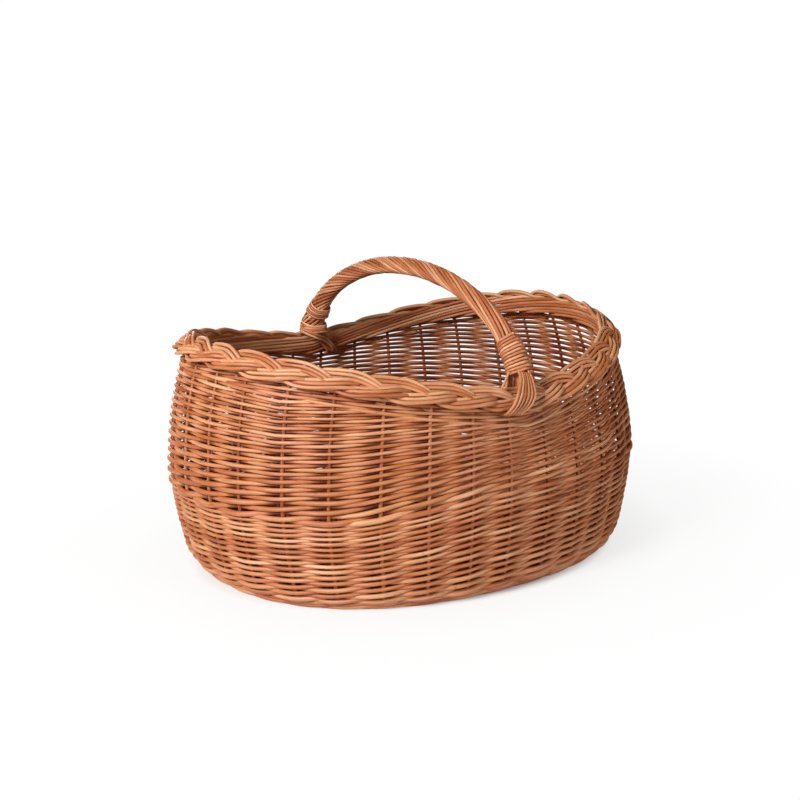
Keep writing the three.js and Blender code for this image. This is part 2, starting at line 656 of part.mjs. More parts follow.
// Bindings: one unbroken skein round the bow and its rods at each foot, its ends running out straight
["near", "far"].forEach((foot) => {
  const steps = BINDING_LOOPS * SKEIN_STEPS_PER_LOOP;
  const points = [];
  const sides = [];
  for (let i = 0; i <= steps; i++) {
    const rise = bindingStart + (bindingHeight * i) / steps;
    const distance = foot === "near" ? rise : bowLength - rise;
    const beside = besideBow(distance, bindingRing, (2 * Math.PI * i) / SKEIN_STEPS_PER_LOOP);
    points.push(beside.point);
    sides.push(beside.side);
  }
  const first = points[0].clone().sub(points[1]).setLength(SKEIN_WIDTH).add(points[0]);
  const last = points[steps].clone().sub(points[steps - 1]).setLength(SKEIN_WIDTH).add(points[steps]);
  points.unshift(first);
  points.push(last);
  sides.unshift(sides[0]);
  sides.push(sides[sides.length - 1]);
  const gap = leastGap(points, SKEIN_STEPS_PER_LOOP, SKEIN_WIDTH);
  console.log(`handle_binding_${foot}: least gap between turns ${gap.toFixed(2)} mm`);
  const section = flat(SKEIN_THICKNESS, SKEIN_WIDTH);
  addPiece(`handle_binding_${foot}`, rodGeometry(points, sides, section), SKEIN_COLOR, SKEIN_ROUGHNESS);
});

export default basket;
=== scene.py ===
"""Oval log basket of peeled willow.

French randing in two bands on 32 stakes, with a plaited border and a roped handle.
Lengths are in millimetres, apart from those of the floor, the lamps and the camera.
"""
import math

import bpy
import numpy as np
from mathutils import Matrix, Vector


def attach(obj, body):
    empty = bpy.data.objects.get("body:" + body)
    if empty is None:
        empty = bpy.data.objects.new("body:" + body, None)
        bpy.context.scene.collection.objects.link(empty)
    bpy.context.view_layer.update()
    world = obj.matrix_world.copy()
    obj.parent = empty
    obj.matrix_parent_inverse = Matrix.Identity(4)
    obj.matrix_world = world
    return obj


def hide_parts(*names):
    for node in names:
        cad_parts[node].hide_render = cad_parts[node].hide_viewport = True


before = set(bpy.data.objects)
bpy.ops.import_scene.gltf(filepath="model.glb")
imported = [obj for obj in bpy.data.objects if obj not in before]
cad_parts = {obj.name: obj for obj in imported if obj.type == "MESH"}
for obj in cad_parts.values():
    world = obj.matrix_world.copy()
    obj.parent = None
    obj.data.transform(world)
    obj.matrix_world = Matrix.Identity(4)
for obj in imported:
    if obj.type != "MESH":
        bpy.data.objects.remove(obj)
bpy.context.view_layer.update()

MM = 0.001
SEED = 20
rng = np.random.default_rng(SEED)
UP = np.array([0.0, 0, 1])
SIDE = np.array([1.0, 0, 0])

# Main sizes
STAKES = 32
STAKE_FOOT = 4.5
STAKE_TOP = 3.4
BASE_LEVEL = 7.0
RIM_HEIGHT = 190.0
RIM_RISE = 47.0
HANDLE_TOP = 300.6
HANDLE_SPAN = 186.8

# Powers of the oval at the foot and the rim, and of the rim's rise towards the ends
PLAN_POWER_FOOT = 2.29
PLAN_POWER_RIM = 2.12
SADDLE_POWER = 1.22

# Hand work: rim and handle lean, one end is drawn in and stands higher, stakes are unevenly spaced
RIM_LEAN = 1.0
LEAN_FROM = 118.0
END_DRAW = 14.0
END_LIFT = 4.0
END_LIFT_REACH = 0.25
HANDLE_LEAN = 4.0
STAKE_UNEVEN = 0.055

# Seeds of the waves that make single rods uneven
STAKE_SEED = 100
ROPE_TURN_SEED = 500
ROPE_RING_SEED = 540
SKEIN_RING_SEED = 620
SKEIN_TONE_SEED = 640
PLAIT_SLIDE_SEED = 700
PLAIT_LIFT_SEED = 800
PLAIT_THICK_SEED = 900
LINING_SEED = 960
ROD_THICK_SEED = 1000
ROD_HEIGHT_SEED = 3000


# Curves

def catmull(points, count):
    """A smooth line through points, as count points."""
    p = np.asarray(points, float)
    p = np.vstack([2 * p[0] - p[1], p, 2 * p[-1] - p[-2]])
    gaps = np.linalg.norm(np.diff(p, axis=0), axis=1) ** 0.5
    t = np.concatenate([[0], np.cumsum(np.maximum(gaps, 1e-6))])
    at = np.linspace(t[1], t[-2], count)
    i = np.clip(np.searchsorted(t, at, side="right") - 1, 1, len(p) - 3)
    x = at[:, None]
    t0, t1, t2, t3 = (t[i + k][:, None] for k in (-1, 0, 1, 2))
    p0, p1, p2, p3 = (p[i + k] for k in (-1, 0, 1, 2))
    a1 = (t1 - x) / (t1 - t0) * p0 + (x - t0) / (t1 - t0) * p1
    a2 = (t2 - x) / (t2 - t1) * p1 + (x - t1) / (t2 - t1) * p2
    a3 = (t3 - x) / (t3 - t2) * p2 + (x - t2) / (t3 - t2) * p3
    b1 = (t2 - x) / (t2 - t0) * a1 + (x - t0) / (t2 - t0) * a2
    b2 = (t3 - x) / (t3 - t1) * a2 + (x - t1) / (t3 - t1) * a3
    return (t2 - x) / (t2 - t1) * b1 + (x - t1) / (t2 - t1) * b2


def lengths_of(points):
    """The length of a line from its start to each of its points."""
    return np.concatenate([[0], np.cumsum(np.linalg.norm(np.diff(points, axis=0), axis=1))])


def unit(v):
    return v / np.maximum(np.linalg.norm(v, axis=-1, keepdims=True), 1e-12)


def levelled(v):
    """The level direction that is nearest to v."""
    return unit(v * [1, 1, 0])


# A wobble is a sum of waves, each quicker and weaker than the one before
WAVES = 3
WAVE_RATE = 0.7
WAVE_RATE_STEP = 1.3
WAVE_RATE_SPREAD = (0.7, 1.3)
WAVE_PHASE = 6.28
WAVE_FADE = 0.6
WAVE_SUM = 1.7


def wobble(x, seed):
    """A smooth seeded wave of x with values of about -1 to 1."""
    r = np.random.default_rng(seed)
    total = np.zeros_like(x)
    for k in range(WAVES):
        rate = WAVE_RATE + WAVE_RATE_STEP * k
        wave = np.sin(x * rate * r.uniform(*WAVE_RATE_SPREAD) + r.uniform(0, WAVE_PHASE))
        total = total + wave / (1 + WAVE_FADE * k)
    return total / WAVE_SUM


def vary(spread):
    """A random factor near 1."""
    return rng.uniform(1 - spread, 1 + spread)


# Wall: the line of the stakes, as half length, half width and height at the middle of a long side
PROFILE = [
    (200, 152, 8.5),
    (216, 169, 7.4),
    (227.5, 181.2, 7.8),
    (234.2, 187.4, 12.2),
    (238.6, 190.8, 19.5),
    (243.0, 194.2, 32),
    (248.9, 197.6, 52),
    (255.3, 200.9, 84),
    (254.8, 200.6, 112),
    (249.5, 197.3, 148),
    (236.5, 189.8, RIM_HEIGHT),
]
PROFILE_POINTS = 600
profile = catmull(PROFILE, PROFILE_POINTS)
profile_length = lengths_of(profile[:, 1:])
WALL_LENGTH = profile_length[-1]

# The way round the basket is measured along this oval
PLAN_HALF_LENGTH = 252.0
PLAN_HALF_WIDTH = 198.0
PLAN_POWER = 2.2
PLAN_POINTS = 4001

# Small steps round and up the wall, to find its directions
STEP_ROUND = 0.004
STEP_UP = 3.0


def oval(angle, power):
    """Shares of the half length and half width: an ellipse where power is 2, squarer where it is more."""
    c, s = np.cos(angle), np.sin(angle)
    x = np.sign(c) * np.abs(c) ** (2 / power)
    y = np.sign(s) * np.abs(s) ** (2 / power)
    return x, y


plan_angle = np.linspace(0, 2 * np.pi, PLAN_POINTS)
plan_x, plan_y = oval(plan_angle, PLAN_POWER)
plan_even = lengths_of(np.stack([PLAN_HALF_LENGTH * plan_x, PLAN_HALF_WIDTH * plan_y], 1))
plan_even /= plan_even[-1]


def angle_at(u):
    return np.interp(u - np.floor(u), plan_even, plan_angle)


def end_share(u):
    """1 at the ends of the basket and 0 at the middle of its long sides."""
    return np.abs(np.cos(angle_at(u))) ** (SADDLE_POWER * 2 / PLAN_POWER_RIM)


def stretch_at(u):
    """How much taller the wall is than at the middle of a long side. One end stands a little higher."""
    way = np.abs((np.asarray(u) + 0.5) % 1 - 0.5)
    lift = END_LIFT * np.clip(1 - way / END_LIFT_REACH, 0, 1)
    return 1 + (RIM_RISE + lift) / (RIM_HEIGHT - BASE_LEVEL) * end_share(u)


def wall_point(u, length):
    """Points of the stake line: u is the share of the way round from +X, length goes up from the base."""
    u, length = np.broadcast_arrays(np.asarray(u, float), np.asarray(length, float))
    way_up = np.clip(length / WALL_LENGTH, 0, 1)
    x, y = oval(angle_at(u), PLAN_POWER_FOOT + (PLAN_POWER_RIM - PLAN_POWER_FOOT) * way_up)
    half_l, half_w, z = (np.interp(length, profile_length, profile[:, k]) for k in range(3))
    over = np.maximum(length - WALL_LENGTH, 0)
    stretch = np.where(z > BASE_LEVEL, stretch_at(u), 1)
    height = BASE_LEVEL + (z - BASE_LEVEL) * stretch + over
    # The rim leans a little towards one end, and its other end is drawn in
    lean = np.clip((height - LEAN_FROM) / (RIM_HEIGHT + RIM_RISE - LEAN_FROM), 0, 1)
    long_way = half_l * x - lean * (RIM_LEAN + END_DRAW * np.maximum(x, 0) ** 2)
    return np.stack([long_way, half_w * y, height], -1)


def wall_frame(u, length):
    """The direction round the wall and the outward direction."""
    around = unit(wall_point(u + STEP_ROUND, length) - wall_point(u - STEP_ROUND, length))
    above = wall_point(u, np.minimum(length + STEP_UP, WALL_LENGTH))
    below = wall_point(u, np.maximum(length - STEP_UP, 0))
    return around, unit(np.cross(around, above - below))


stake_shift = rng.uniform(-STAKE_UNEVEN, STAKE_UNEVEN, STAKES)


def stake_share(s):
    """The share of the way round at stake s, which may lie between two stakes."""
    s = np.asarray(s, float)
    low = np.floor(s).astype(int)
    part = s - low
    part = part * part * (3 - 2 * part)
    shift = stake_shift[low % STAKES] * (1 - part) + stake_shift[(low + 1) % STAKES] * part
    return (s + 0.5 + shift) / STAKES


def stake_thickness(length):
    return STAKE_FOOT + (STAKE_TOP - STAKE_FOOT) * length / WALL_LENGTH


# Rods as meshes

# A rod's grain starts at a random place, so that no two rods are alike
GRAIN_PLACES = 500
GRAIN_PLACE_LENGTH = 40

# The map for baking has strips of this length, and these shares of a strip for a rod and its ends
STRIP_LENGTH = 420.0
STRIP_START = 0.01
STRIP_SPAN = 0.94
STRIP_LOW = 0.06
STRIP_HIGH = 0.88
CAP_AFTER = 0.022
CAP_LAST = 0.985
CAP_WIDE = 0.008
CAP_MIDDLE = 0.5
CAP_HIGH = 0.3


class Rods:
    """The rods of one piece, gathered into one mesh."""

    def __init__(self, name):
        self.name = name
        self.co, self.grain, self.tone = [], [], []
        self.quads, self.caps, self.strips, self.ends = [], [], [], []
        self.count = 0
        self.rows = 0

    def add(self, points, thick, hint, tone, sides=8, flatness=1.0, closed=False):
        """A rod along points. thick is its diameter, hint the direction of its section's first axis,
        tone how pale it is, flatness its thickness along hint as a share of its width."""
        p = np.asarray(points, float)
        n = len(p)
        thick = np.broadcast_to(np.asarray(thick, float), (n,))
        tone = np.broadcast_to(np.asarray(tone, float), (n,))
        hint = np.broadcast_to(np.asarray(hint, float), (n, 3))
        along = lengths_of(p)
        if closed:
            steps = n
            tangent = unit(np.roll(p, -1, 0) - np.roll(p, 1, 0))
            start = along
            stop = np.append(along[1:], along[-1] + np.linalg.norm(p[0] - p[-1]))
        else:
            steps = n - 1
            tangent = unit(np.gradient(p, axis=0))
            start = along[:-1]
            stop = along[1:]

        first = unit(hint - (hint * tangent).sum(1, keepdims=True) * tangent)
        second = np.cross(tangent, first)
        turn = 2 * np.pi * (np.arange(sides) + 0.5) / sides
        ring = (
            first[:, None] * (flatness * np.cos(turn))[None, :, None]
            + second[:, None] * np.sin(turn)[None, :, None]
        ) * (thick / 2)[:, None, None]
        co = p[:, None] + ring

        place = rng.uniform(0, GRAIN_PLACES)
        grain = np.empty((n, sides, 3))
        grain[..., 0] = along[:, None] + place * GRAIN_PLACE_LENGTH
        grain[..., 1] = (thick / 2)[:, None] * np.cos(turn) + place
        grain[..., 2] = (thick / 2)[:, None] * np.sin(turn)

        i = np.arange(steps)[:, None]
        j = np.arange(sides)[None, :]
        here = self.count + i * sides
        ahead = self.count + ((i + 1) % n) * sides
        beside_j = (j + 1) % sides
        quads = np.stack([here + j, ahead + j, ahead + beside_j, here + beside_j], -1)

        row = np.floor(start / STRIP_LENGTH)
        u0 = (start - row * STRIP_LENGTH) / STRIP_LENGTH
        u1 = (stop - row * STRIP_LENGTH) / STRIP_LENGTH
        v0 = np.arange(sides) / sides
        v1 = (np.arange(sides) + 1) / sides
        columns = [u0[:, None], v0, u1[:, None], v1, row[:, None] + self.rows]
        strips = np.stack([np.broadcast_to(column, (steps, sides)) for column in columns], -1)

        self.co.append(co.reshape(-1, 3))
        self.grain.append(grain.reshape(-1, 3))
        self.tone.append(np.repeat(tone, sides))
        self.quads.append(quads.reshape(-1, 4))
        self.strips.append(strips.reshape(-1, 5))
        if not closed:
            self.caps.append(self.count + np.arange(sides)[::-1])
            self.caps.append(self.count + (n - 1) * sides + np.arange(sides))
            self.ends += [(0.0, self.rows), (u1[-1], self.rows + row[-1])]
        self.rows += int(row.max()) + 1
        self.count += n * sides

    def bake_map(self):
        """The map for baking lays each rod out as strips, one above the other."""
        u0, v0, u1, v1, row = np.concatenate(self.strips).T
        high = 1 / self.rows
        u = np.stack([u0, u1, u1, u0], 1) * STRIP_SPAN + STRIP_START
        v = (row[:, None] + STRIP_LOW + STRIP_HIGH * np.stack([v0, v0, v1, v1], 1)) * high
        corners = [np.stack([u, v], -1).reshape(-1, 2)]
        for (at, end_row), cap in zip(self.ends, self.caps):
            turn = 2 * np.pi * np.arange(len(cap)) / len(cap)
            x = min(at * STRIP_SPAN + CAP_AFTER, CAP_LAST) + CAP_WIDE * np.cos(turn)
            y = (end_row + CAP_MIDDLE + CAP_HIGH * np.sin(turn)) * high
            corners.append(np.stack([x, y], -1))
        return np.concatenate(corners)

    def build(self, material, slot, *nodes):
        """Makes the piece, which stands for the CAD nodes named."""
        co = np.concatenate(self.co) * MM
        quads = np.concatenate(self.quads)
        loops = np.concatenate([quads.ravel(), *self.caps])
        sizes = np.concatenate([np.full(len(quads), 4), np.array([len(c) for c in self.caps], int)])
        starts = np.concatenate([[0], np.cumsum(sizes)[:-1]])
        smooth = np.concatenate([np.ones(len(quads), bool), np.zeros(len(self.caps), bool)])
        mesh = bpy.data.meshes.new(self.name)
        mesh.vertices.add(len(co))
        mesh.vertices.foreach_set("co", co.ravel())
        mesh.loops.add(len(loops))
        mesh.loops.foreach_set("vertex_index", loops.astype(np.int32))
        mesh.polygons.add(len(sizes))
        mesh.polygons.foreach_set("loop_start", starts.astype(np.int32))
        mesh.update(calc_edges=True)
        mesh.polygons.foreach_set("use_smooth", smooth)
        layer = mesh.uv_layers.new(name="OFBake")
        layer.data.foreach_set("uv", self.bake_map().astype(np.float32).ravel())
        grain = mesh.attributes.new("grain", "FLOAT_VECTOR", "POINT")
        grain.data.foreach_set("vector", np.concatenate(self.grain).astype(np.float32).ravel())
        tone = mesh.attributes.new("tone", "FLOAT", "POINT")
        tone.data.foreach_set("value", np.concatenate(self.tone).astype(np.float32))
        mesh.materials.append(material)
        mesh.validate()
        piece = bpy.data.objects.new(self.name, mesh)
        bpy.context.scene.collection.objects.link(piece)
        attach(piece, "root")
        if nodes:
            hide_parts(*nodes)


# Materials

PALE = (0.71, 0.378, 0.222)
HONEY = (0.43, 0.132, 0.045)
RED = (0.17, 0.024, 0.004)
HONEY_PLACE = 0.45
GOLDEN = (0.97, 1.0, 0.80)
PINKISH = (1.0, 0.96, 1.0)

# The part of a noise's values that is put to use, and what it does at most
NOISE_LOW, NOISE_HIGH = 0.3, 0.7
MOTTLE_TONE = 0.19
STREAK_TONE = 0.14
FIBRE_DARK, FIBRE_LIGHT = 0.93, 1.05
SCAR_FROM, SCAR_FULL = 0.71, 0.77
SCAR_DARK = 0.62
SCAR_BUMP = 0.6
SMOOTHER, ROUGHER = 0.08, 0.1
BUMP_STRENGTH = 0.35
BUMP_DEPTH = 0.4 * MM
PEELED_ROUGH = 0.5
SKEIN_ROUGH = 0.42
SPECULAR = 0.5


def colour_ramp(nodes, stops):
    """A ramp through stops, each a place and a colour."""
    ramp = nodes.new("ShaderNodeValToRGB")
    elements = ramp.color_ramp.elements
    elements[0].position = stops[0][0]
    elements[1].position = stops[-1][0]
    for place, _ in stops[1:-1]:
        elements.new(place)
    for element, (_, colour) in zip(elements, stops):
        element.color = (*colour, 1)
    return ramp


def willow(name, share, rough=PEELED_ROUGH):
    """Peeled willow: each rod has its own tone, with streaks along it, slow mottling and small scars.
    share is how light its colours are."""
    material = bpy.data.materials.new(name)
    material.use_nodes = True
    nodes, links = material.node_tree.nodes, material.node_tree.links
    shader = nodes["Principled BSDF"]
    shader.inputs["Specular IOR Level"].default_value = SPECULAR
    pale, honey, red = (tuple(share * c for c in colour) for colour in (PALE, HONEY, RED))

    grain = nodes.new("ShaderNodeAttribute")
    grain.attribute_name = "grain"
    # Each rod's own tone; on the siding it also carries painted shade where rods go behind the stakes
    tone = nodes.new("ShaderNodeAttribute")
    tone.attribute_name = "tone"

    def make(kind, **inputs):
        node = nodes.new(kind)
        for key, value in inputs.items():
            node.inputs[key].default_value = value
        return node

    def noise(along, across, detail, roughness=0.55):
        """Noise with this many waves to a millimetre along a rod and across it."""
        stretch = make("ShaderNodeMapping", Scale=(along, across, across))
        links.new(grain.outputs["Vector"], stretch.inputs["Vector"])
        field = make("ShaderNodeTexNoise", Scale=1.0, Detail=detail, Roughness=roughness)
        links.new(stretch.outputs["Vector"], field.inputs["Vector"])
        return field.outputs["Fac"]

    def spread(source, to_low, to_high, low=NOISE_LOW, high=NOISE_HIGH):
        span = nodes.new("ShaderNodeMapRange")
        for key, value in (("From Min", low), ("From Max", high), ("To Min", to_low), ("To Max", to_high)):
            span.inputs[key].default_value = value
        links.new(source, span.inputs["Value"])
        return span.outputs["Result"]

    def combine(kind, a, b):
        node = nodes.new("ShaderNodeMath")
        node.operation = kind
        for socket, value in zip(node.inputs, (a, b)):
            if isinstance(value, float):
                socket.default_value = value
            else:
                links.new(value, socket)
        return node.outputs["Value"]

    def multiplied(a, b):
        node = nodes.new("ShaderNodeMix")
        node.data_type = "RGBA"
        node.blend_type = "MULTIPLY"
        node.inputs["Factor"].default_value = 1.0
        links.new(a, node.inputs["A"])
        links.new(b, node.inputs["B"])
        return node.outputs["Result"]

    mottle = noise(0.018, 0.05, 3.0)
    streak = noise(0.035, 0.9, 4.0, 0.65)
    fibre = noise(0.12, 4.0, 3.0, 0.6)
    scars = noise(0.16, 0.28, 1.0, 0.5)
    blush = noise(0.011, 0.02, 2.0)

    shade = combine("ADD", tone.outputs["Fac"], spread(mottle, -MOTTLE_TONE, MOTTLE_TONE))
    shade = combine("ADD", shade, spread(streak, -STREAK_TONE, STREAK_TONE))
    wood = colour_ramp(nodes, [(0.0, red), (HONEY_PLACE, honey), (1.0, pale)])
    links.new(shade, wood.inputs["Fac"])
    scar = spread(scars, 1.0, SCAR_DARK, SCAR_FROM, SCAR_FULL)
    light = combine("MULTIPLY", spread(fibre, FIBRE_DARK, FIBRE_LIGHT), scar)
    hue = colour_ramp(nodes, [(NOISE_LOW, GOLDEN), (NOISE_HIGH, PINKISH)])
    links.new(blush, hue.inputs["Fac"])
    colour = multiplied(multiplied(wood.outputs["Color"], light), hue.outputs["Color"])
    links.new(colour, shader.inputs["Base Color"])

    links.new(spread(streak, rough - SMOOTHER, rough + ROUGHER), shader.inputs["Roughness"])
    bump = make("ShaderNodeBump", Strength=BUMP_STRENGTH, Distance=BUMP_DEPTH)
    relief = combine("ADD", fibre, combine("MULTIPLY", scars, SCAR_BUMP))
    links.new(relief, bump.inputs["Height"])
    links.new(bump.outputs["Normal"], shader.inputs["Normal"])
    return material


siding_material = willow("willow_siding", 1.0)
# The stakes' colours are a little darker than the siding's: painted shade, as they sit behind the rods
stake_material = willow("willow_stakes", 0.85)
base_material = willow("willow_base", 0.86)
border_material = willow("willow_border", 1.05)
handle_material = willow("willow_handle", 1.0)
skein_material = willow("willow_skein", 1.04, SKEIN_ROUGH)


# Stakes

STAKE_POINTS = 60
STAKE_SHORT = 4.0
STAKE_SWAY = 0.5
STAKE_WAVE = 60.0
# The stakes' tones run darker than the rods': painted shade, as they sit behind the rods
STAKE_TONE = (0.15, 0.6)

stakes = Rods("stakes")
length = np.linspace(0, WALL_LENGTH - STAKE_SHORT, STAKE_POINTS)
for i in range(STAKES):
    u = stake_share(i + 0 * length)
    around, _ = wall_frame(u, length)
    sway = STAKE_SWAY * wobble(length / STAKE_WAVE, STAKE_SEED + i)
    p = wall_point(u, length) + around * sway[:, None]
    stakes.add(p, stake_thickness(length), around, rng.uniform(*STAKE_TONE), sides=10)

# Siding: French randing, each rod starting at its own stake and rising one level at each stake.
# The levels stay about flat round the basket, so the taller ends hold more of them.

# Where the siding starts, as the wall's half length there, and where its two bands meet
SIDING_START_HALF = 225.0
SIDING_OVER = 3.0
JUNCTION_HEIGHT = 93.0
RIM_BAND = 26.0
# The first point of the profile that is past the bend at its foot
UPRIGHT = 120

rising = slice(0, int(np.argmax(profile[:, 0])))
SIDING_START = float(np.interp(SIDING_START_HALF, profile[rising, 0], profile_length[rising]))
SIDING_END = WALL_LENGTH + SIDING_OVER
JUNCTION = float(np.interp(JUNCTION_HEIGHT, profile[UPRIGHT:, 2], profile_length[UPRIGHT:]))

# The rows climb along one long side and fall along the other, by shares of the way round
CLIMB = 11.5
CLIMB_FROM = 0.625
CLIMB_SPAN = 0.085
CLIMB_POWER = 1.2
FALL_TO = 0.42
FALL_SPAN = 0.3
DIP = 2.0
DIP_AT = 0.616
DIP_SPAN = 0.02

# A rod, in levels: it starts before its first stake, is thick at its butt and ends short of the top
LEVEL_POINTS = 9
BUTT_BEHIND = 0.85
BUTT_RISE = 0.45
BUTT_LEVELS = 5.0
TIP_SHORT = 0.35
# Its swing from side to side of the stakes
SWING_LEAD = 0.06
SWING_SHARE = 0.6
SWING_VARIES = 0.05
# How uneven it is, with the rates of its waves
ROD_VARIES = 0.08
THICK_WAVES, THICK_WAVE_LEVELS = 0.05, 3
HEIGHT_WAVES, HEIGHT_WAVE_RATE = 0.13, 0.9
# Its tone, and painted shade: how much darker it is painted where it goes behind a stake, which also
# darkens the inside of the wall
ROD_TONE, ROD_TONE_SPREAD = 0.575, 0.13
ROD_TONE_LEAST, ROD_TONE_MOST = 0.05, 1.0
PAINTED_SHADE_BEHIND = 0.95
PAINTED_SHADE_FROM = 0.5
# At the foot rods are thicker, swing less and swing level, so that the bottom edge stays even
FOOT_REACH = 22.0
FOOT_THICKEN = 0.3
FOOT_LEVEL = 0.75
FOOT_CALM = 0.25
# Steps at which the number of levels is worked out
STEPS_PER_STAKE = 8


def climb(u):
    """What the rows climb along one long side and lose again along the other."""
    way = u - np.floor(u)
    step_up = np.where(way > 0.5, np.clip((way - CLIMB_FROM) / CLIMB_SPAN, 0, 1), 1)
    step_down = np.where(way > 0.5, 1, np.clip((FALL_TO - way) / FALL_SPAN, 0, 1))
    dip = np.exp(-(((way - DIP_AT) / DIP_SPAN) ** 2))
    return CLIMB * step_up**CLIMB_POWER * step_down**2 * (3 - 2 * step_down) - DIP * dip


def siding_bottom(u):
    return SIDING_START + 0 * u


def junction_line(u):
    return JUNCTION + climb(u)


def siding_top(u):
    return SIDING_START + (SIDING_END - SIDING_START) * stretch_at(u)


def rim_line(u):
    return siding_top(u) - RIM_BAND


def levels_up(q, levels, fall, widen):
    """The height of level q in tip pitches, and the pitch there: rods are thickest at their butts."""
    butt = np.exp(-np.clip(q, 0, None) / BUTT_LEVELS)
    height = q - fall * q * np.abs(q) / (2 * levels) + BUTT_LEVELS * widen * (1 - butt)
    return height, 1 - fall * np.clip(q, 0, None) / levels + widen * butt


def randing(rods, bottom, top, levels, end_levels, fall, widen, fill):
    """A band between two lines up the wall, with levels at the middle of a long side and end_levels at
    an end. fall is the share of its pitch that is lost towards the top, widen what the butts add to the
    pitch at the bottom, fill the thickness of a rod as a share of the pitch."""
    # Towards an end the levels grow by one at each stake at most, as the rods rise
    steps = np.linspace(0, 3 * STAKES, 3 * STAKES * STEPS_PER_STAKE + 1)
    wanted = levels + (end_levels - levels) * end_share(stake_share(steps))
    allowed = np.minimum.accumulate(wanted - steps) + steps
    points = int((end_levels + BUTT_BEHIND) * LEVEL_POINTS) + 1
    for j in range(STAKES):
        q = np.linspace(-BUTT_BEHIND, end_levels, points)
        count = np.interp((j + q) % STAKES + STAKES, steps, allowed)
        stop = int(np.argmax(q > count - TIP_SHORT)) or len(q)
        q, count = q[:stop], count[:stop]
        u = stake_share(j + q)
        low = bottom(u)
        height, pitch = levels_up(q, count, fall, widen)
        unit_pitch = (top(u) - low) / levels_up(count, count, fall, widen)[0]
        pitch = pitch * unit_pitch
        height = np.where(q < 0, BUTT_RISE * q, height) * unit_pitch
        wave = wobble(q * HEIGHT_WAVE_RATE, ROD_HEIGHT_SEED + 7 * j + levels)
        above = low + height + 0.5 * pitch[0] + HEIGHT_WAVES * pitch * wave
        length = SIDING_START + (above - SIDING_START) / stretch_at(u)
        foot_share = np.clip((FOOT_REACH + SIDING_START - above) / FOOT_REACH, 0, 1)
        wave = wobble(q / THICK_WAVE_LEVELS, ROD_THICK_SEED + j)
        thick = fill * pitch * vary(ROD_VARIES) * (1 + THICK_WAVES * wave)
        thick = thick * (1 + FOOT_THICKEN * foot_share)
        reach = SWING_SHARE * (stake_thickness(length) + thick) / 2 * vary(SWING_VARIES)
        swing = np.cos(np.pi * (q + SWING_LEAD))
        offset = reach * swing * (1 - FOOT_CALM * foot_share)
        _, out = wall_frame(u, length)
        level_share = FOOT_LEVEL * foot_share[:, None]
        swing_out = unit(out * (1 - level_share) + levelled(out) * level_share)
        p = wall_point(u, length) + swing_out * offset[:, None]
        own_tone = np.clip(rng.normal(ROD_TONE, ROD_TONE_SPREAD), ROD_TONE_LEAST, ROD_TONE_MOST)
        # Painted shade: the tone drops where the rod goes behind a stake
        rods.add(p, thick, out, own_tone + PAINTED_SHADE_BEHIND * np.minimum(swing + PAINTED_SHADE_FROM, 0))


lower = Rods("siding_lower")
randing(lower, siding_bottom, junction_line, levels=30, end_levels=30, fall=0.3, widen=0.2, fill=1.2)
# The last rows of the upper band follow the rim
upper = Rods("siding_upper")
randing(upper, junction_line, rim_line, levels=22, end_levels=34, fall=0.25, widen=0.4, fill=0.99)
randing(upper, rim_line, siding_top, levels=9, end_levels=9, fall=0.1, widen=0.1, fill=1.07)

# Foot: slim rods along the bottom edge, in front of two stakes and behind one
WALE_RODS = 3
WALE_ROWS = 2
WALE_POINTS = 9
WALE_ROD = 4.0
WALE_BELOW = 2.0
WALE_TONE = (0.35, 0.7)
# A rod's place outside the stakes, its swing, and how far the next row lies further up and in
WALE_OUT = 3.4
WALE_SWING = 2.6
WALE_ROW_ALONG = 2.0
WALE_ROW_IN = 0.6
# Its height over the floor, and what that gains with the row and the swing
WALE_HEIGHT = 3.4
WALE_ROW_RISE = 3.7
WALE_SWING_RISE = 1.3

foot = Rods("foot_rods")
s = np.linspace(0, STAKES + 1, (STAKES + 1) * WALE_POINTS, endpoint=False)
u = stake_share(s * STAKES / (STAKES + 1))
length = SIDING_START - WALE_BELOW + 0 * s
_, out = wall_frame(u, length)
for k in range(WALE_RODS):
    turn = 2 * np.pi * (s + k) / WALE_RODS
    for row in range(WALE_ROWS):
        away = WALE_OUT + WALE_SWING * np.cos(turn) - WALE_ROW_IN * row
        p = wall_point(u, length + WALE_ROW_ALONG * row) + levelled(out) * away[:, None]
        p[:, 2] = WALE_HEIGHT + WALE_ROW_RISE * row + WALE_SWING_RISE * np.sin(turn)
        foot.add(p, WALE_ROD, out, rng.uniform(*WALE_TONE), closed=True)

# Below the siding, rods go round over and under the stakes where these leave the base
UNDER_ROWS = 6
UNDER_POINTS = 8
UNDER_ROD = 4.5
UNDER_START = 1.8
UNDER_PITCH = 4.2
UNDER_SWING = 3.3
UNDER_TONE = (0.2, 0.6)

s = np.linspace(0, STAKES, STAKES * UNDER_POINTS, endpoint=False)
u = stake_share(s)
for row in range(UNDER_ROWS):
    length = UNDER_START + UNDER_PITCH * row + 0 * s
    _, out = wall_frame(u, length)
    swing = UNDER_SWING * np.cos(np.pi * (s + row))
    p = wall_point(u, length) + out * swing[:, None]
    foot.add(p, UNDER_ROD, out, rng.uniform(*UNDER_TONE), closed=True)

# Border: three strands of three rods, each on top as it leaves an edge of the plait
STRANDS = 3
STRAND_RODS = 3
PERIODS = 10
PERIOD_POINTS = 48
PLAIT_ROD = 3.9
PLAIT_GAP = 0.8
PLAIT_REACH = 8.2
PLAIT_LIFT = 2.7
PLAIT_TILT = math.radians(37)
PLAIT_VARIES = 0.08
PLAIT_TONE = (0.4, 0.95)
# Its height over the end of the wall, at the middle of a long side and at an end
PLAIT_UP_MIDDLE = 6.3
PLAIT_UP_END = 2.5
# How far it hangs out, which is less at the end that is drawn in
PLAIT_OUT = 3.0
PLAIT_OUT_DRAWN = 0.5
DRAWN_AT = 230.0
DRAWN_POWER = 3
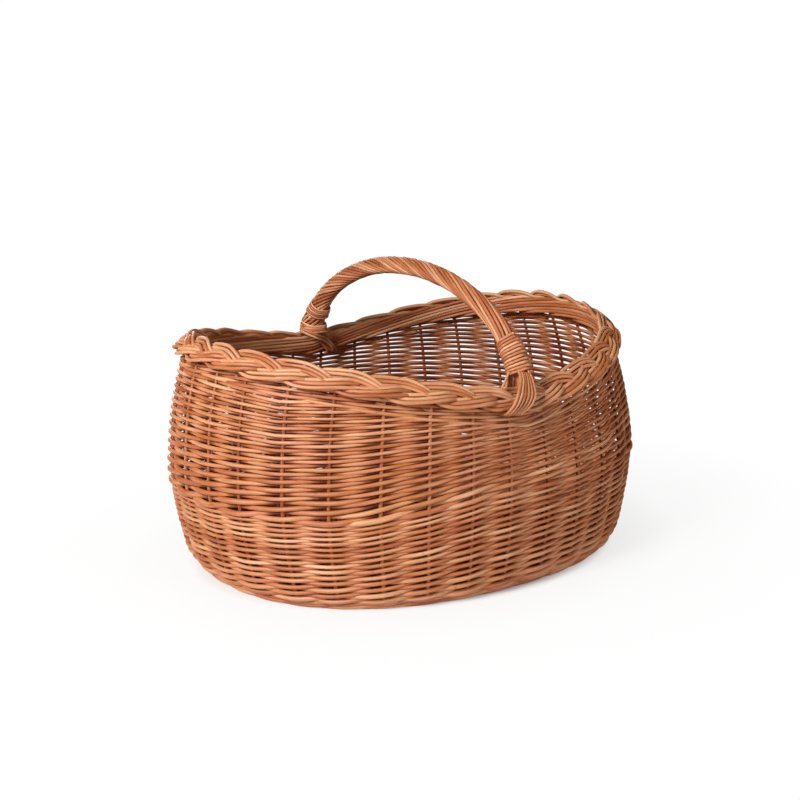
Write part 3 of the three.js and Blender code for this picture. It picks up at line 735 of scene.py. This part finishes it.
# How uneven its rods are, with the number of waves round the rim
SLIDE_WAVES, SLIDE_RATE = 0.35, 60
LIFT_WAVES, LIFT_RATE = 0.6, 80
PLAIT_THICK_WAVES, PLAIT_THICK_RATE = 0.05, 40
# One period of a strand: share of the way, place across the plait (1 at the outer edge) and height
PLAIT_STEPS = [
    (0.00, -0.95, -0.6),
    (0.06, -1.02, -0.1),
    (0.14, -1.02, 0.4),
    (0.22, -0.90, 0.8),
    (0.28, -0.58, 1.0),
    (0.34, -0.12, 0.7),
    (0.39, 0.28, -0.3),
    (0.44, 0.68, -1.0),
    (0.50, 0.98, -0.7),
    (0.56, 1.06, -0.2),
    (0.64, 0.98, 0.4),
    (0.72, 0.82, 0.85),
    (0.775, 0.62, 1.0),
    (0.83, 0.32, 0.7),
    (0.88, -0.02, -0.2),
    (0.945, -0.55, -1.0),
]
COURSE_POINTS = 1200
COURSE_SCALE = np.array([6, 1, 1])


def plait_course(f):
    """Place across the plait and height at share f of a period, as smooth closed curves."""
    steps = np.array(PLAIT_STEPS)
    looped = np.vstack([steps - SIDE, steps, steps + SIDE])
    smooth = catmull(looped * COURSE_SCALE, COURSE_POINTS) / COURSE_SCALE
    return np.interp(f, smooth[:, 0], smooth[:, 1]), np.interp(f, smooth[:, 0], smooth[:, 2])


def rim_frame(u):
    """The middle of the border, the direction round the rim and the level outward direction."""
    rise = PLAIT_UP_MIDDLE + (PLAIT_UP_END - PLAIT_UP_MIDDLE) * end_share(u)
    around, _ = wall_frame(u, WALL_LENGTH + 0 * u)
    return wall_point(u, WALL_LENGTH + rise), around, unit(np.cross(around, UP))


border = []
u = np.arange(PERIODS * PERIOD_POINTS) / (PERIODS * PERIOD_POINTS)
rim, around, level = rim_frame(u)
down = level * math.cos(PLAIT_TILT) - UP * math.sin(PLAIT_TILT)
face = unit(np.cross(around, -down))
face = face * np.sign(face[:, 2:])
drawn = np.clip(rim[:, 0] / DRAWN_AT, 0, 1) ** DRAWN_POWER
hang = PLAIT_OUT + (PLAIT_OUT_DRAWN - PLAIT_OUT) * drawn
for strand in range(STRANDS):
    rods = Rods(f"border_strand_{strand + 1}")
    across, over = plait_course((PERIODS * u + strand / STRANDS) % 1)
    for rod in range(STRAND_RODS):
        own = 10 * strand + rod
        slide = (rod - (STRAND_RODS - 1) / 2) * (PLAIT_ROD + PLAIT_GAP)
        slide = slide + SLIDE_WAVES * wobble(u * SLIDE_RATE, PLAIT_SLIDE_SEED + own)
        side = PLAIT_REACH * across + slide + hang
        lift = PLAIT_LIFT * over + LIFT_WAVES * wobble(u * LIFT_RATE, PLAIT_LIFT_SEED + own)
        p = rim + down * side[:, None] + face * lift[:, None]
        wave = wobble(u * PLAIT_THICK_RATE, PLAIT_THICK_SEED + own)
        thick = PLAIT_ROD * vary(PLAIT_VARIES) * (1 + PLAIT_THICK_WAVES * wave)
        rods.add(p, thick, face, rng.uniform(*PLAIT_TONE), closed=True)
    border.append(rods)

# Rods that rise along the inside of the rim, from the weave to the plait. Both ends are hidden.
INSIDE_POINTS = 60
INSIDE_SPAN = 6.0
INSIDE_ROD = 4.3
INSIDE_VARIES = 0.08
INSIDE_TONE = (0.35, 0.9)
# How far inside the border's middle a rod starts, how much further in it ends, and how it comes in
INSIDE_START = 4.0
INSIDE_IN = 4.5
INSIDE_COME, INSIDE_COME_SHARE = 7.0, 0.08
# How far under the border's middle it starts, how much it rises, and its waves
INSIDE_BELOW = 18.0
INSIDE_RISE = 22.5
INSIDE_WAVES, INSIDE_WAVE_RATE = 0.5, 6
# How it dives under the plait at its end
DIVE_FROM, DIVE_SHARE = 0.88, 0.12
DIVE_OUT = 4.5
DIVE_DOWN = 9.0

lining = Rods("border_inside")
way = np.linspace(0, 1, INSIDE_POINTS)
come = np.clip(1 - way / INSIDE_COME_SHARE, 0, 1)
dive = np.clip((way - DIVE_FROM) / DIVE_SHARE, 0, 1)
for j in range(STAKES):
    rim, _, level = rim_frame(stake_share(j - INSIDE_SPAN * way))
    inward = INSIDE_START + INSIDE_IN * way - INSIDE_COME * come - DIVE_OUT * dive
    wave = INSIDE_WAVES * wobble(way * INSIDE_WAVE_RATE, LINING_SEED + j)
    p = rim - level * inward[:, None]
    p[:, 2] += -INSIDE_BELOW + INSIDE_RISE * way - DIVE_DOWN * dive**2 + wave
    lining.add(p, INSIDE_ROD * vary(INSIDE_VARIES), level, rng.uniform(*INSIDE_TONE))

# Handle: an arch of rods laid round a bow, whose feet stand inside the wall
ARCH_POINTS = 400
ARCH_FROM = 18.0
ARCH_EVERY = 14
NEAR_LEG = np.array([[0, -189.0, 128], [0, -186.0, 152], [0, -180.5, 182]])
SPINE_POINTS = 900
SPINE_STEP = 2.0

angle = np.linspace(0, np.pi, ARCH_POINTS)
arch = np.stack(
    [
        HANDLE_LEAN * np.sin(angle),
        -HANDLE_SPAN * np.cos(angle),
        RIM_HEIGHT + (HANDLE_TOP - RIM_HEIGHT) * np.sin(angle),
    ],
    1,
)
arch = arch[arch[:, 2] > RIM_HEIGHT + ARCH_FROM][::ARCH_EVERY]
far_leg = NEAR_LEG[::-1] * [1, -1, 1]
spine = catmull(np.vstack([NEAR_LEG, arch, far_leg]), SPINE_POINTS)
spine_length = lengths_of(spine)
SPINE = spine_length[-1]


def on_spine(d):
    return np.stack([np.interp(d, spine_length, spine[:, k]) for k in range(3)], -1)


def spine_outward(d):
    """The direction out of the arch."""
    return unit(np.cross(SIDE, unit(on_spine(d + SPINE_STEP) - on_spine(d - SPINE_STEP))))


def beside(d, radius, turn):
    """Points beside the spine, and their directions from it."""
    direction = spine_outward(d) * np.cos(turn)[:, None] + SIDE * np.sin(turn)[:, None]
    return on_spine(d) + direction * radius[:, None], direction


def at_height(z):
    """How far along the spine its near half reaches height z."""
    half = spine_length < SPINE / 2
    return float(np.interp(z, spine[half, 2], spine_length[half]))


# The bindings, from foot to top, at the near and the far end
NEAR_FOOT, NEAR_TOP = at_height(215.5), at_height(246)
FAR_FOOT, FAR_TOP = at_height(203), at_height(239)

BOW_POINTS = 160
BOW_START, BOW_STOP = at_height(184), at_height(206)
BOW_THICK = 11.2
BOW_TAPER = 2.4
BOW_TONE = 0.5

bow = Rods("handle_core")
d = np.linspace(BOW_START, SPINE - BOW_STOP, BOW_POINTS)
thick = BOW_THICK - BOW_TAPER * np.abs(2 * d / SPINE - 1)
bow.add(on_spine(d), thick, spine_outward(d), BOW_TONE, sides=10)

ROPES = 14
ROPE_POINTS = 320
ROPE_ROD = 3.25
ROPE_VARIES = 0.06
ROPE_TONE = (0.38, 0.78)
# How far the rods go into the bindings
ROPE_IN_NEAR = 5.0
ROPE_IN_FAR = 3.0
# The ring that they lie in
RING_TOP, RING_FOOT = 7.6, 8.9
RING_REACH = 0.62
FAR_SPREAD = 4.0
# Their lay is steeper from a little over the near binding on
LAY_NEAR = math.tan(math.radians(6)) / RING_TOP
LAY_FAR = math.tan(math.radians(20)) / RING_TOP
LAY_FROM = 10.0
LAY_REACH = 0.2
# How uneven they are, with the lengths of their waves
TURN_WAVES, TURN_WAVE_LENGTH = 0.05, 40
RING_WAVES, RING_WAVE_LENGTH = 0.3, 50


def rope_ring(d):
    """The rods lie closer together at the top of the arch than at its feet."""
    away = np.clip(np.abs(2 * d / SPINE - 1) / RING_REACH, 0, 1)
    far_spread = np.clip((d - SPINE + FAR_TOP) / (FAR_TOP - FAR_FOOT), 0, 1)
    return RING_TOP + (RING_FOOT - RING_TOP) * away**3 + FAR_SPREAD * far_spread


rope = Rods("handle_rope")
d = np.linspace(NEAR_FOOT + ROPE_IN_NEAR, SPINE - FAR_FOOT - ROPE_IN_FAR, ROPE_POINTS)
share = np.clip((d - NEAR_TOP - LAY_FROM) / (LAY_REACH * SPINE), 0, 1)
rate = LAY_NEAR + (LAY_FAR - LAY_NEAR) * share**2 * (3 - 2 * share)
turning = np.concatenate([[0], np.cumsum(rate[:-1] * np.diff(d))])
for i in range(ROPES):
    own_turn = TURN_WAVES * wobble(d / TURN_WAVE_LENGTH, ROPE_TURN_SEED + i)
    turn = turning + 2 * np.pi * i / ROPES + own_turn
    ring = rope_ring(d) + RING_WAVES * wobble(d / RING_WAVE_LENGTH, ROPE_RING_SEED + i)
    p, direction = beside(d, ring, turn)
    rope.add(p, ROPE_ROD * vary(ROPE_VARIES), direction, rng.uniform(*ROPE_TONE), sides=9)

# Bindings: skeins wound round the handle's feet
WRAP_POINTS = 40
WRAP_CLEAR = 0.3
WRAP_FLATNESS = 0.7
# A turn isn't round: how far its three and its five corners stand out
THREE_CORNERS, THREE_PHASE = 0.6, -1.0
FIVE_CORNERS, FIVE_PHASE = 0.3, 0.4
# How uneven a skein is, and its tone, which differs from turn to turn
WRAP_WAVES, WRAP_WAVE_RATE = 0.2, 2
WRAP_TONE = 0.6
WRAP_TONE_WAVES, WRAP_TONE_RATE = 0.2, 1.7
WRAP_TONE_STEP = 0.12


def add_wraps(rods, start, loops, pitch, fill, far, low_flare, top_flare):
    """A skein wound round the handle's foot from its lower end up. fill is its width as a share of the
    pitch, the flares are what its radius has over the rods at its lower and its upper end."""
    k = np.linspace(0, loops, loops * WRAP_POINTS + 1)
    d = start + pitch * k
    if far:
        d = SPINE - d
    turn = 2 * np.pi * k
    corner = THREE_CORNERS * np.cos(3 * turn + THREE_PHASE)
    corner = corner + FIVE_CORNERS * np.cos(5 * turn + FIVE_PHASE)
    own = WRAP_WAVES * wobble(k * WRAP_WAVE_RATE, SKEIN_RING_SEED)
    flare = low_flare + (top_flare - low_flare) * k / loops
    ring = rope_ring(d) + ROPE_ROD / 2 + WRAP_CLEAR + corner + own + flare
    p, direction = beside(d, ring, turn)
    tone = WRAP_TONE + WRAP_TONE_WAVES * wobble(k * WRAP_TONE_RATE, SKEIN_TONE_SEED)
    tone = tone + WRAP_TONE_STEP * np.cos(np.pi * np.floor(k))
    rods.add(p, fill * pitch, direction, tone, flatness=WRAP_FLATNESS)


NEAR_WRAPS = 12
NEAR_PITCH = (NEAR_TOP - NEAR_FOOT) / NEAR_WRAPS
NEAR_FILL = 0.92
near_binding = Rods("binding_near")
add_wraps(near_binding, NEAR_FOOT, NEAR_WRAPS, NEAR_PITCH, NEAR_FILL, False, low_flare=1.5, top_flare=0.9)

FAR_WRAPS = 5
FAR_PITCH = 2.9
FAR_FILL = 0.86
FAR_UPPER = FAR_TOP - FAR_WRAPS * FAR_PITCH
far_binding = Rods("binding_far")
add_wraps(far_binding, FAR_FOOT, FAR_WRAPS, FAR_PITCH, FAR_FILL, True, low_flare=1.0, top_flare=0.6)
add_wraps(far_binding, FAR_UPPER, FAR_WRAPS, FAR_PITCH, FAR_FILL, True, low_flare=0.7, top_flare=0.4)

# Rod ends at the feet: some go down inside the wall, the others over the border and under it
TAIL_POINTS = 60
TAIL_TIP = 0.9
OVER_RODS = 6
OVER_SPREAD = 4
OVER_ROD = 3.1
OVER_TONE = (0.5, 0.9)
INNER_RODS = 4
INNER_ROD = 3.2
INNER_FIRST = -15.0
INNER_GAP = 3.8
INNER_TONE = (0.35, 0.75)
# Points are given for the near foot, and a half turn takes them to the far one
NO_TURN = np.array([1.0, 1.0, 1.0])
HALF_TURN = np.array([-1.0, -1.0, 1.0])

tails = Rods("handle_rod_ends")


def tail(points, thick, tone):
    """A rod end through points, a little thinner at its tip."""
    taper = np.linspace(1, TAIL_TIP, TAIL_POINTS)
    tails.add(catmull(points, TAIL_POINTS), thick * taper, SIDE, tone)


def over_border(drop, turn):
    """Rods that leave the binding side by side, lie over the border and tuck in under it."""
    for rod in range(OVER_RODS):
        k = OVER_SPREAD * rod / (OVER_RODS - 1)
        points = [
            (-4.0 + 2.6 * k, -181.0, 226 - drop),
            (-8.8 + 3.3 * k, -193.5, 217 - 0.4 * k - drop),
            (-15.5 + 4.5 * k, -200.5, 209 - 0.6 * k - 0.7 * drop),
            (-23.0 + 5.5 * k, -206.5, 203 - 0.7 * k - 0.3 * drop),
            (-30.0 + 5.3 * k, -209.0, 195 - 0.7 * k),
            (-35.5 + 4.2 * k, -206.0, 187 - 0.6 * k),
            (-33.0 + 4.2 * k, -199.5, 184.5 - 0.6 * k),
        ]
        tail(np.array(points) * turn, OVER_ROD, rng.uniform(*OVER_TONE))


def inside_wall(foot_height, turn, lean, length):
    """Rods that go down inside the wall from the binding, leaning along it, and end in the weave."""
    for k in range(INNER_RODS):
        x = INNER_FIRST + INNER_GAP * k
        points = [
            (x * 0.6, -177.0, foot_height + 10),
            (x * 0.9, -180.5, foot_height),
            (x + 0.35 * lean, -178.5, foot_height - 0.4 * length),
            (x + lean, -178.5, foot_height - 0.8 * length),
            (x + 1.2 * lean, -189.0, foot_height - length),
        ]
        tail(np.array(points) * turn, INNER_ROD, rng.uniform(*INNER_TONE))


over_border(drop=0, turn=NO_TURN)
over_border(drop=6, turn=HALF_TURN)
inside_wall(foot_height=213, turn=NO_TURN, lean=0.5, length=40.0)
inside_wall(foot_height=204, turn=HALF_TURN, lean=-14.0, length=29.0)

# A short thin rod at the near foot
SHORT_ROD = 2.6
SHORT_TONE = 0.6
tail([(-9, -178, 222), (-17, -183, 215), (-24, -186, 209), (-27, -184, 202)], SHORT_ROD, SHORT_TONE)

# Two rods cross the far foot from its binding down to the border
CROSSING_RODS = 2
CROSSING_GAP = 3.6
CROSSING_TONE, CROSSING_TONE_STEP = 0.55, 0.15
for k in range(CROSSING_RODS):
    drop = CROSSING_GAP * k
    points = [
        (-8.0, 187.0, 216 - drop),
        (-16.5, 179.0, 211.5 - drop),
        (-7.0, 166.0, 204.5 - drop),
        (12.0, 171.5, 196 - drop),
        (25.0 - 2 * k, 175.5, 184 - 0.5 * drop),
        (25.5 - 2 * k, 188.0, 176),
    ]
    tail(points, OVER_ROD, CROSSING_TONE + CROSSING_TONE_STEP * k)

# Base: sticks that fan to the edge, woven round tightly
BASE_CROWN = 24.0
BASE_EDGE = 9.0
# The edge is this much larger than the start of the stakes
EDGE_LONGER = 198.0 / 196.0
EDGE_WIDER = 150.0 / 148.0
STICK_ENDS = 16
LINE_POINTS = 24
STICK_TONE = (0.3, 0.7)
LONG_STICKS = 3
LONG_ROD = 5.4
LONG_GAP = 5.6
LONG_STRAIGHT = 75.0
CROSS_STICKS = 5
CROSS_GAP = 25.0
CROSS_STRAIGHT = 9.0
# A cross stick is split round the long ones: how thick its halves are, how far apart, and to where
SPLIT_ROD = 4.2
SPLIT_GROWS = 3.0
SPLIT_GROWS_FROM = 20.0
SPLIT_APART = 3.9
SPLIT_CLOSED = 60.0
SPLIT_SPAN = 30.0

sticks = Rods("base_sticks")
stick_lines = np.empty((STICK_ENDS, LINE_POINTS, 3))


def stick_line(x, y, end):
    """From an inner point out to an end of a stick, which are counted round from +X. The weave uses it."""
    edge = wall_point(end / STICK_ENDS, 0.0) * [EDGE_LONGER, EDGE_WIDER, 1]
    share = np.linspace(0, 1, LINE_POINTS)[:, None]
    p = np.array([x, y, 0]) * (1 - share) + edge * share
    p[:, 2] = BASE_EDGE + BASE_CROWN * (1 - share[:, 0])
    stick_lines[end % STICK_ENDS] = p
    return p


for place in range(-(LONG_STICKS // 2), LONG_STICKS // 2 + 1):
    left = stick_line(-LONG_STRAIGHT, place * LONG_GAP, STICK_ENDS // 2 - place)
    right = stick_line(LONG_STRAIGHT, place * LONG_GAP, place)
    sticks.add(np.vstack([left[::-1], right]), LONG_ROD, UP, rng.uniform(*STICK_TONE), sides=10)
for place in range(-(CROSS_STICKS // 2), CROSS_STICKS // 2 + 1):
    near = stick_line(place * CROSS_GAP, -CROSS_STRAIGHT, 3 * STICK_ENDS // 4 + place)
    far = stick_line(place * CROSS_GAP, CROSS_STRAIGHT, STICK_ENDS // 4 - place)
    for apart in (SPLIT_APART, -SPLIT_APART):
        path = np.vstack([near[::-1], far])
        away = np.abs(path[:, 1])
        path[:, 2] += apart * np.clip((SPLIT_CLOSED - away) / SPLIT_SPAN, 0, 1)
        thick = SPLIT_ROD + SPLIT_GROWS * np.clip((away - SPLIT_GROWS_FROM) / SPLIT_SPAN, 0, 1)
        sticks.add(path, thick, UP, rng.uniform(*STICK_TONE), sides=10)

# Two rods wind outwards over and under the sticks, as smooth curves through points on these
BASE_RODS = 2
BASE_ROWS = 42
BASE_POINTS = 7
BASE_ROD = 3.7
BASE_SWING = 5.4
BASE_START, BASE_SPAN = 0.015, 0.98
BASE_TONE = (0.4, 0.7)

base_weave = Rods("base_weave")
total = BASE_ROWS / BASE_RODS * STICK_ENDS
s = np.arange(0, total, 1 / BASE_POINTS)
low = np.floor(s).astype(int)
part = (s - low)[:, None]
lead = STICK_ENDS / BASE_RODS


def on_sticks(numbers, share):
    """Points on sticks, at shares of the way out."""
    index = share * (LINE_POINTS - 1)
    inner = np.clip(np.floor(index).astype(int), 0, LINE_POINTS - 2)
    weight = (index - inner)[:, None]
    ends = numbers % STICK_ENDS
    return stick_lines[ends, inner] * (1 - weight) + stick_lines[ends, inner + 1] * weight


for k in range(BASE_RODS):
    share = BASE_START + BASE_SPAN * (s + k * lead) / (total + lead)
    before, a, b, after = (on_sticks(low + step, share) for step in (-1, 0, 1, 2))
    p = 0.5 * (
        2 * a
        + (b - before) * part
        + (2 * before - 5 * a + 4 * b - after) * part**2
        + (3 * a - before - 3 * b + after) * part**3
    )
    p[:, 2] += BASE_SWING * np.cos(np.pi * (s + k))
    base_weave.add(p, BASE_ROD, UP, rng.uniform(*BASE_TONE), sides=7)


# Pieces, with the CAD nodes that they stand for
CAD_WEAVERS = 2
CAD_ROPES = 6


def numbered(name, count):
    return [f"{name}_{i + 1}" for i in range(count)]


stakes.build(stake_material, "willow_stake", *[f"stake_{i + 1:02d}" for i in range(STAKES)])
lower.build(siding_material, "willow_weaver", *numbered("lower_weaver", CAD_WEAVERS))
upper.build(siding_material, "willow_weaver", *numbered("upper_weaver", CAD_WEAVERS))
foot.build(siding_material, "willow_weaver", "foot_rod_inner", "foot_rod_outer")
for rods, node in zip(border, numbered("plait_strand", STRANDS)):
    rods.build(border_material, "willow_border", node)
lining.build(border_material, "willow_border")
bow.build(handle_material, "willow_handle", "handle_bow")
rope.build(handle_material, "willow_handle", *numbered("handle_rope", CAD_ROPES))
tails.build(handle_material, "willow_handle")
near_binding.build(skein_material, "willow_skein", "handle_binding_near")
far_binding.build(skein_material, "willow_skein", "handle_binding_far")
base_nodes = numbered("base_stick_long", LONG_STICKS) + numbered("base_stick_cross", CROSS_STICKS)
sticks.build(base_material, "willow_base", *base_nodes)
base_weave.build(base_material, "willow_base", "base_weaver")

# Floor and light, in metres
FLOOR_HALF = 8.0
FLOOR_GREY = (0.75, 0.75, 0.75, 1)
WHITE = (1, 1, 1, 1)
WHITE_STRENGTH = 1.02
WORLD_COLOUR = (1, 0.84, 0.7, 1)
WORLD_STRENGTH = 0.10
# How white the floor is, by shares of FADE_REACH times the way from the middle to the foot's oval
FOOT_HALF_LENGTH = 0.229
FOOT_HALF_WIDTH = 0.184
FADE_REACH = 4.0
FLOOR_FADE = [(0.24, 0.0), (0.268, 0.78), (0.36, 0.9), (0.7, 1.0)]


def empty_nodes(owner):
    owner.use_nodes = True
    owner.node_tree.nodes.clear()
    return owner.node_tree.nodes, owner.node_tree.links


def shader_node(nodes, kind, colour, strength=None):
    node = nodes.new(kind)
    node.inputs["Color"].default_value = colour
    if strength is not None:
        node.inputs["Strength"].default_value = strength
    return node.outputs[0]


def mix_shaders(nodes, links, share, first, second):
    mix = nodes.new("ShaderNodeMixShader")
    links.new(share, mix.inputs["Fac"])
    links.new(first, mix.inputs[1])
    links.new(second, mix.inputs[2])
    return mix.outputs["Shader"]


def floor_material():
    """Plain white away from the basket, with its shadow near it, dark under it and clear from below."""
    material = bpy.data.materials.new("floor")
    nodes, links = empty_nodes(material)
    place = nodes.new("ShaderNodeNewGeometry")
    oval_place = nodes.new("ShaderNodeVectorMath")
    oval_place.operation = "MULTIPLY"
    oval_place.inputs[1].default_value = (1 / FOOT_HALF_LENGTH, 1 / FOOT_HALF_WIDTH, 0)
    links.new(place.outputs["Position"], oval_place.inputs[0])
    reach = nodes.new("ShaderNodeVectorMath")
    reach.operation = "LENGTH"
    links.new(oval_place.outputs["Vector"], reach.inputs[0])
    spread = nodes.new("ShaderNodeMapRange")
    spread.inputs["From Max"].default_value = FADE_REACH
    links.new(reach.outputs["Value"], spread.inputs["Value"])
    fade = colour_ramp(nodes, [(at, (level, level, level)) for at, level in FLOOR_FADE])
    links.new(spread.outputs["Result"], fade.inputs["Fac"])
    path = nodes.new("ShaderNodeLightPath")
    seen = nodes.new("ShaderNodeMath")
    seen.operation = "MULTIPLY"
    links.new(path.outputs["Is Camera Ray"], seen.inputs[0])
    links.new(fade.outputs["Color"], seen.inputs[1])
    grey = shader_node(nodes, "ShaderNodeBsdfDiffuse", FLOOR_GREY)
    glow = shader_node(nodes, "ShaderNodeEmission", WHITE, WHITE_STRENGTH)
    top = mix_shaders(nodes, links, seen.outputs["Value"], grey, glow)
    clear = shader_node(nodes, "ShaderNodeBsdfTransparent", WHITE)
    both = mix_shaders(nodes, links, place.outputs["Backfacing"], top, clear)
    links.new(both, nodes.new("ShaderNodeOutputMaterial").inputs["Surface"])
    return material


floor_mesh = bpy.data.meshes.new("floor")
floor_corners = [(x * FLOOR_HALF, y * FLOOR_HALF, 0) for x, y in ((-1, -1), (1, -1), (1, 1), (-1, 1))]
floor_mesh.from_pydata(floor_corners, [], [(0, 1, 2, 3)])
floor_mesh.materials.append(floor_material())
floor = bpy.data.objects.new("floor", floor_mesh)
bpy.context.scene.collection.objects.link(floor)

world = bpy.data.worlds.new("studio")
bpy.context.scene.world = world
nodes, links = empty_nodes(world)
path = nodes.new("ShaderNodeLightPath")
soft = shader_node(nodes, "ShaderNodeBackground", WORLD_COLOUR, WORLD_STRENGTH)
white = shader_node(nodes, "ShaderNodeBackground", WHITE, WHITE_STRENGTH)
backdrop = mix_shaders(nodes, links, path.outputs["Is Camera Ray"], soft, white)
links.new(backdrop, nodes.new("ShaderNodeOutputWorld").inputs["Surface"])


def lamp(name, place, target, size, power, colour):
    data = bpy.data.lights.new(name, "AREA")
    data.color = colour
    data.shape = "DISK"
    data.size = size
    data.energy = power
    obj = bpy.data.objects.new(name, data)
    obj.location = place
    obj.rotation_euler = (Vector(target) - Vector(place)).to_track_quat("-Z", "Y").to_euler()
    bpy.context.scene.collection.objects.link(obj)


lamp("key", (-2.3, -0.62, 1.6), (0, 0, 0.12), size=1.0, power=103, colour=(1, 1, 1))
lamp("fill", (0.9, -2.35, 0.32), (0, 0, 0.09), size=0.6, power=18.5, colour=(1, 0.94, 0.86))
lamp("rear", (0.7, 2.3, 0.5), (0, 0, 0.08), size=0.8, power=14, colour=(1, 0.96, 0.9))

# Camera at the photograph's angle, in metres, with its focal length and middle in pixels
AZIMUTH, ELEVATION = math.radians(-36.78), math.radians(12.755)
TARGET = Vector((0, 0, 0.168))
DISTANCE = 1.504
FOCAL_PIXELS = 1403.6
MIDDLE_X, MIDDLE_Y = 406.3, 389.8
FRAME_PIXELS = 800
SENSOR = 36
back = Vector(
    (
        math.sin(AZIMUTH) * math.cos(ELEVATION),
        -math.cos(AZIMUTH) * math.cos(ELEVATION),
        math.sin(ELEVATION),
    )
)
camera_data = bpy.data.cameras.new("camera")
camera_data.sensor_width = SENSOR
camera_data.lens = FOCAL_PIXELS / FRAME_PIXELS * SENSOR
camera_data.shift_x = -(MIDDLE_X - FRAME_PIXELS / 2) / FRAME_PIXELS
camera_data.shift_y = (MIDDLE_Y - FRAME_PIXELS / 2) / FRAME_PIXELS
camera = bpy.data.objects.new("camera", camera_data)
camera.location = TARGET + back * DISTANCE
camera.rotation_mode = "QUATERNION"
camera.rotation_quaternion = (-back).to_track_quat("-Z", "Y")
bpy.context.scene.collection.objects.link(camera)
bpy.context.scene.camera = camera
bpy.context.scene.view_settings.view_transform = "Standard"
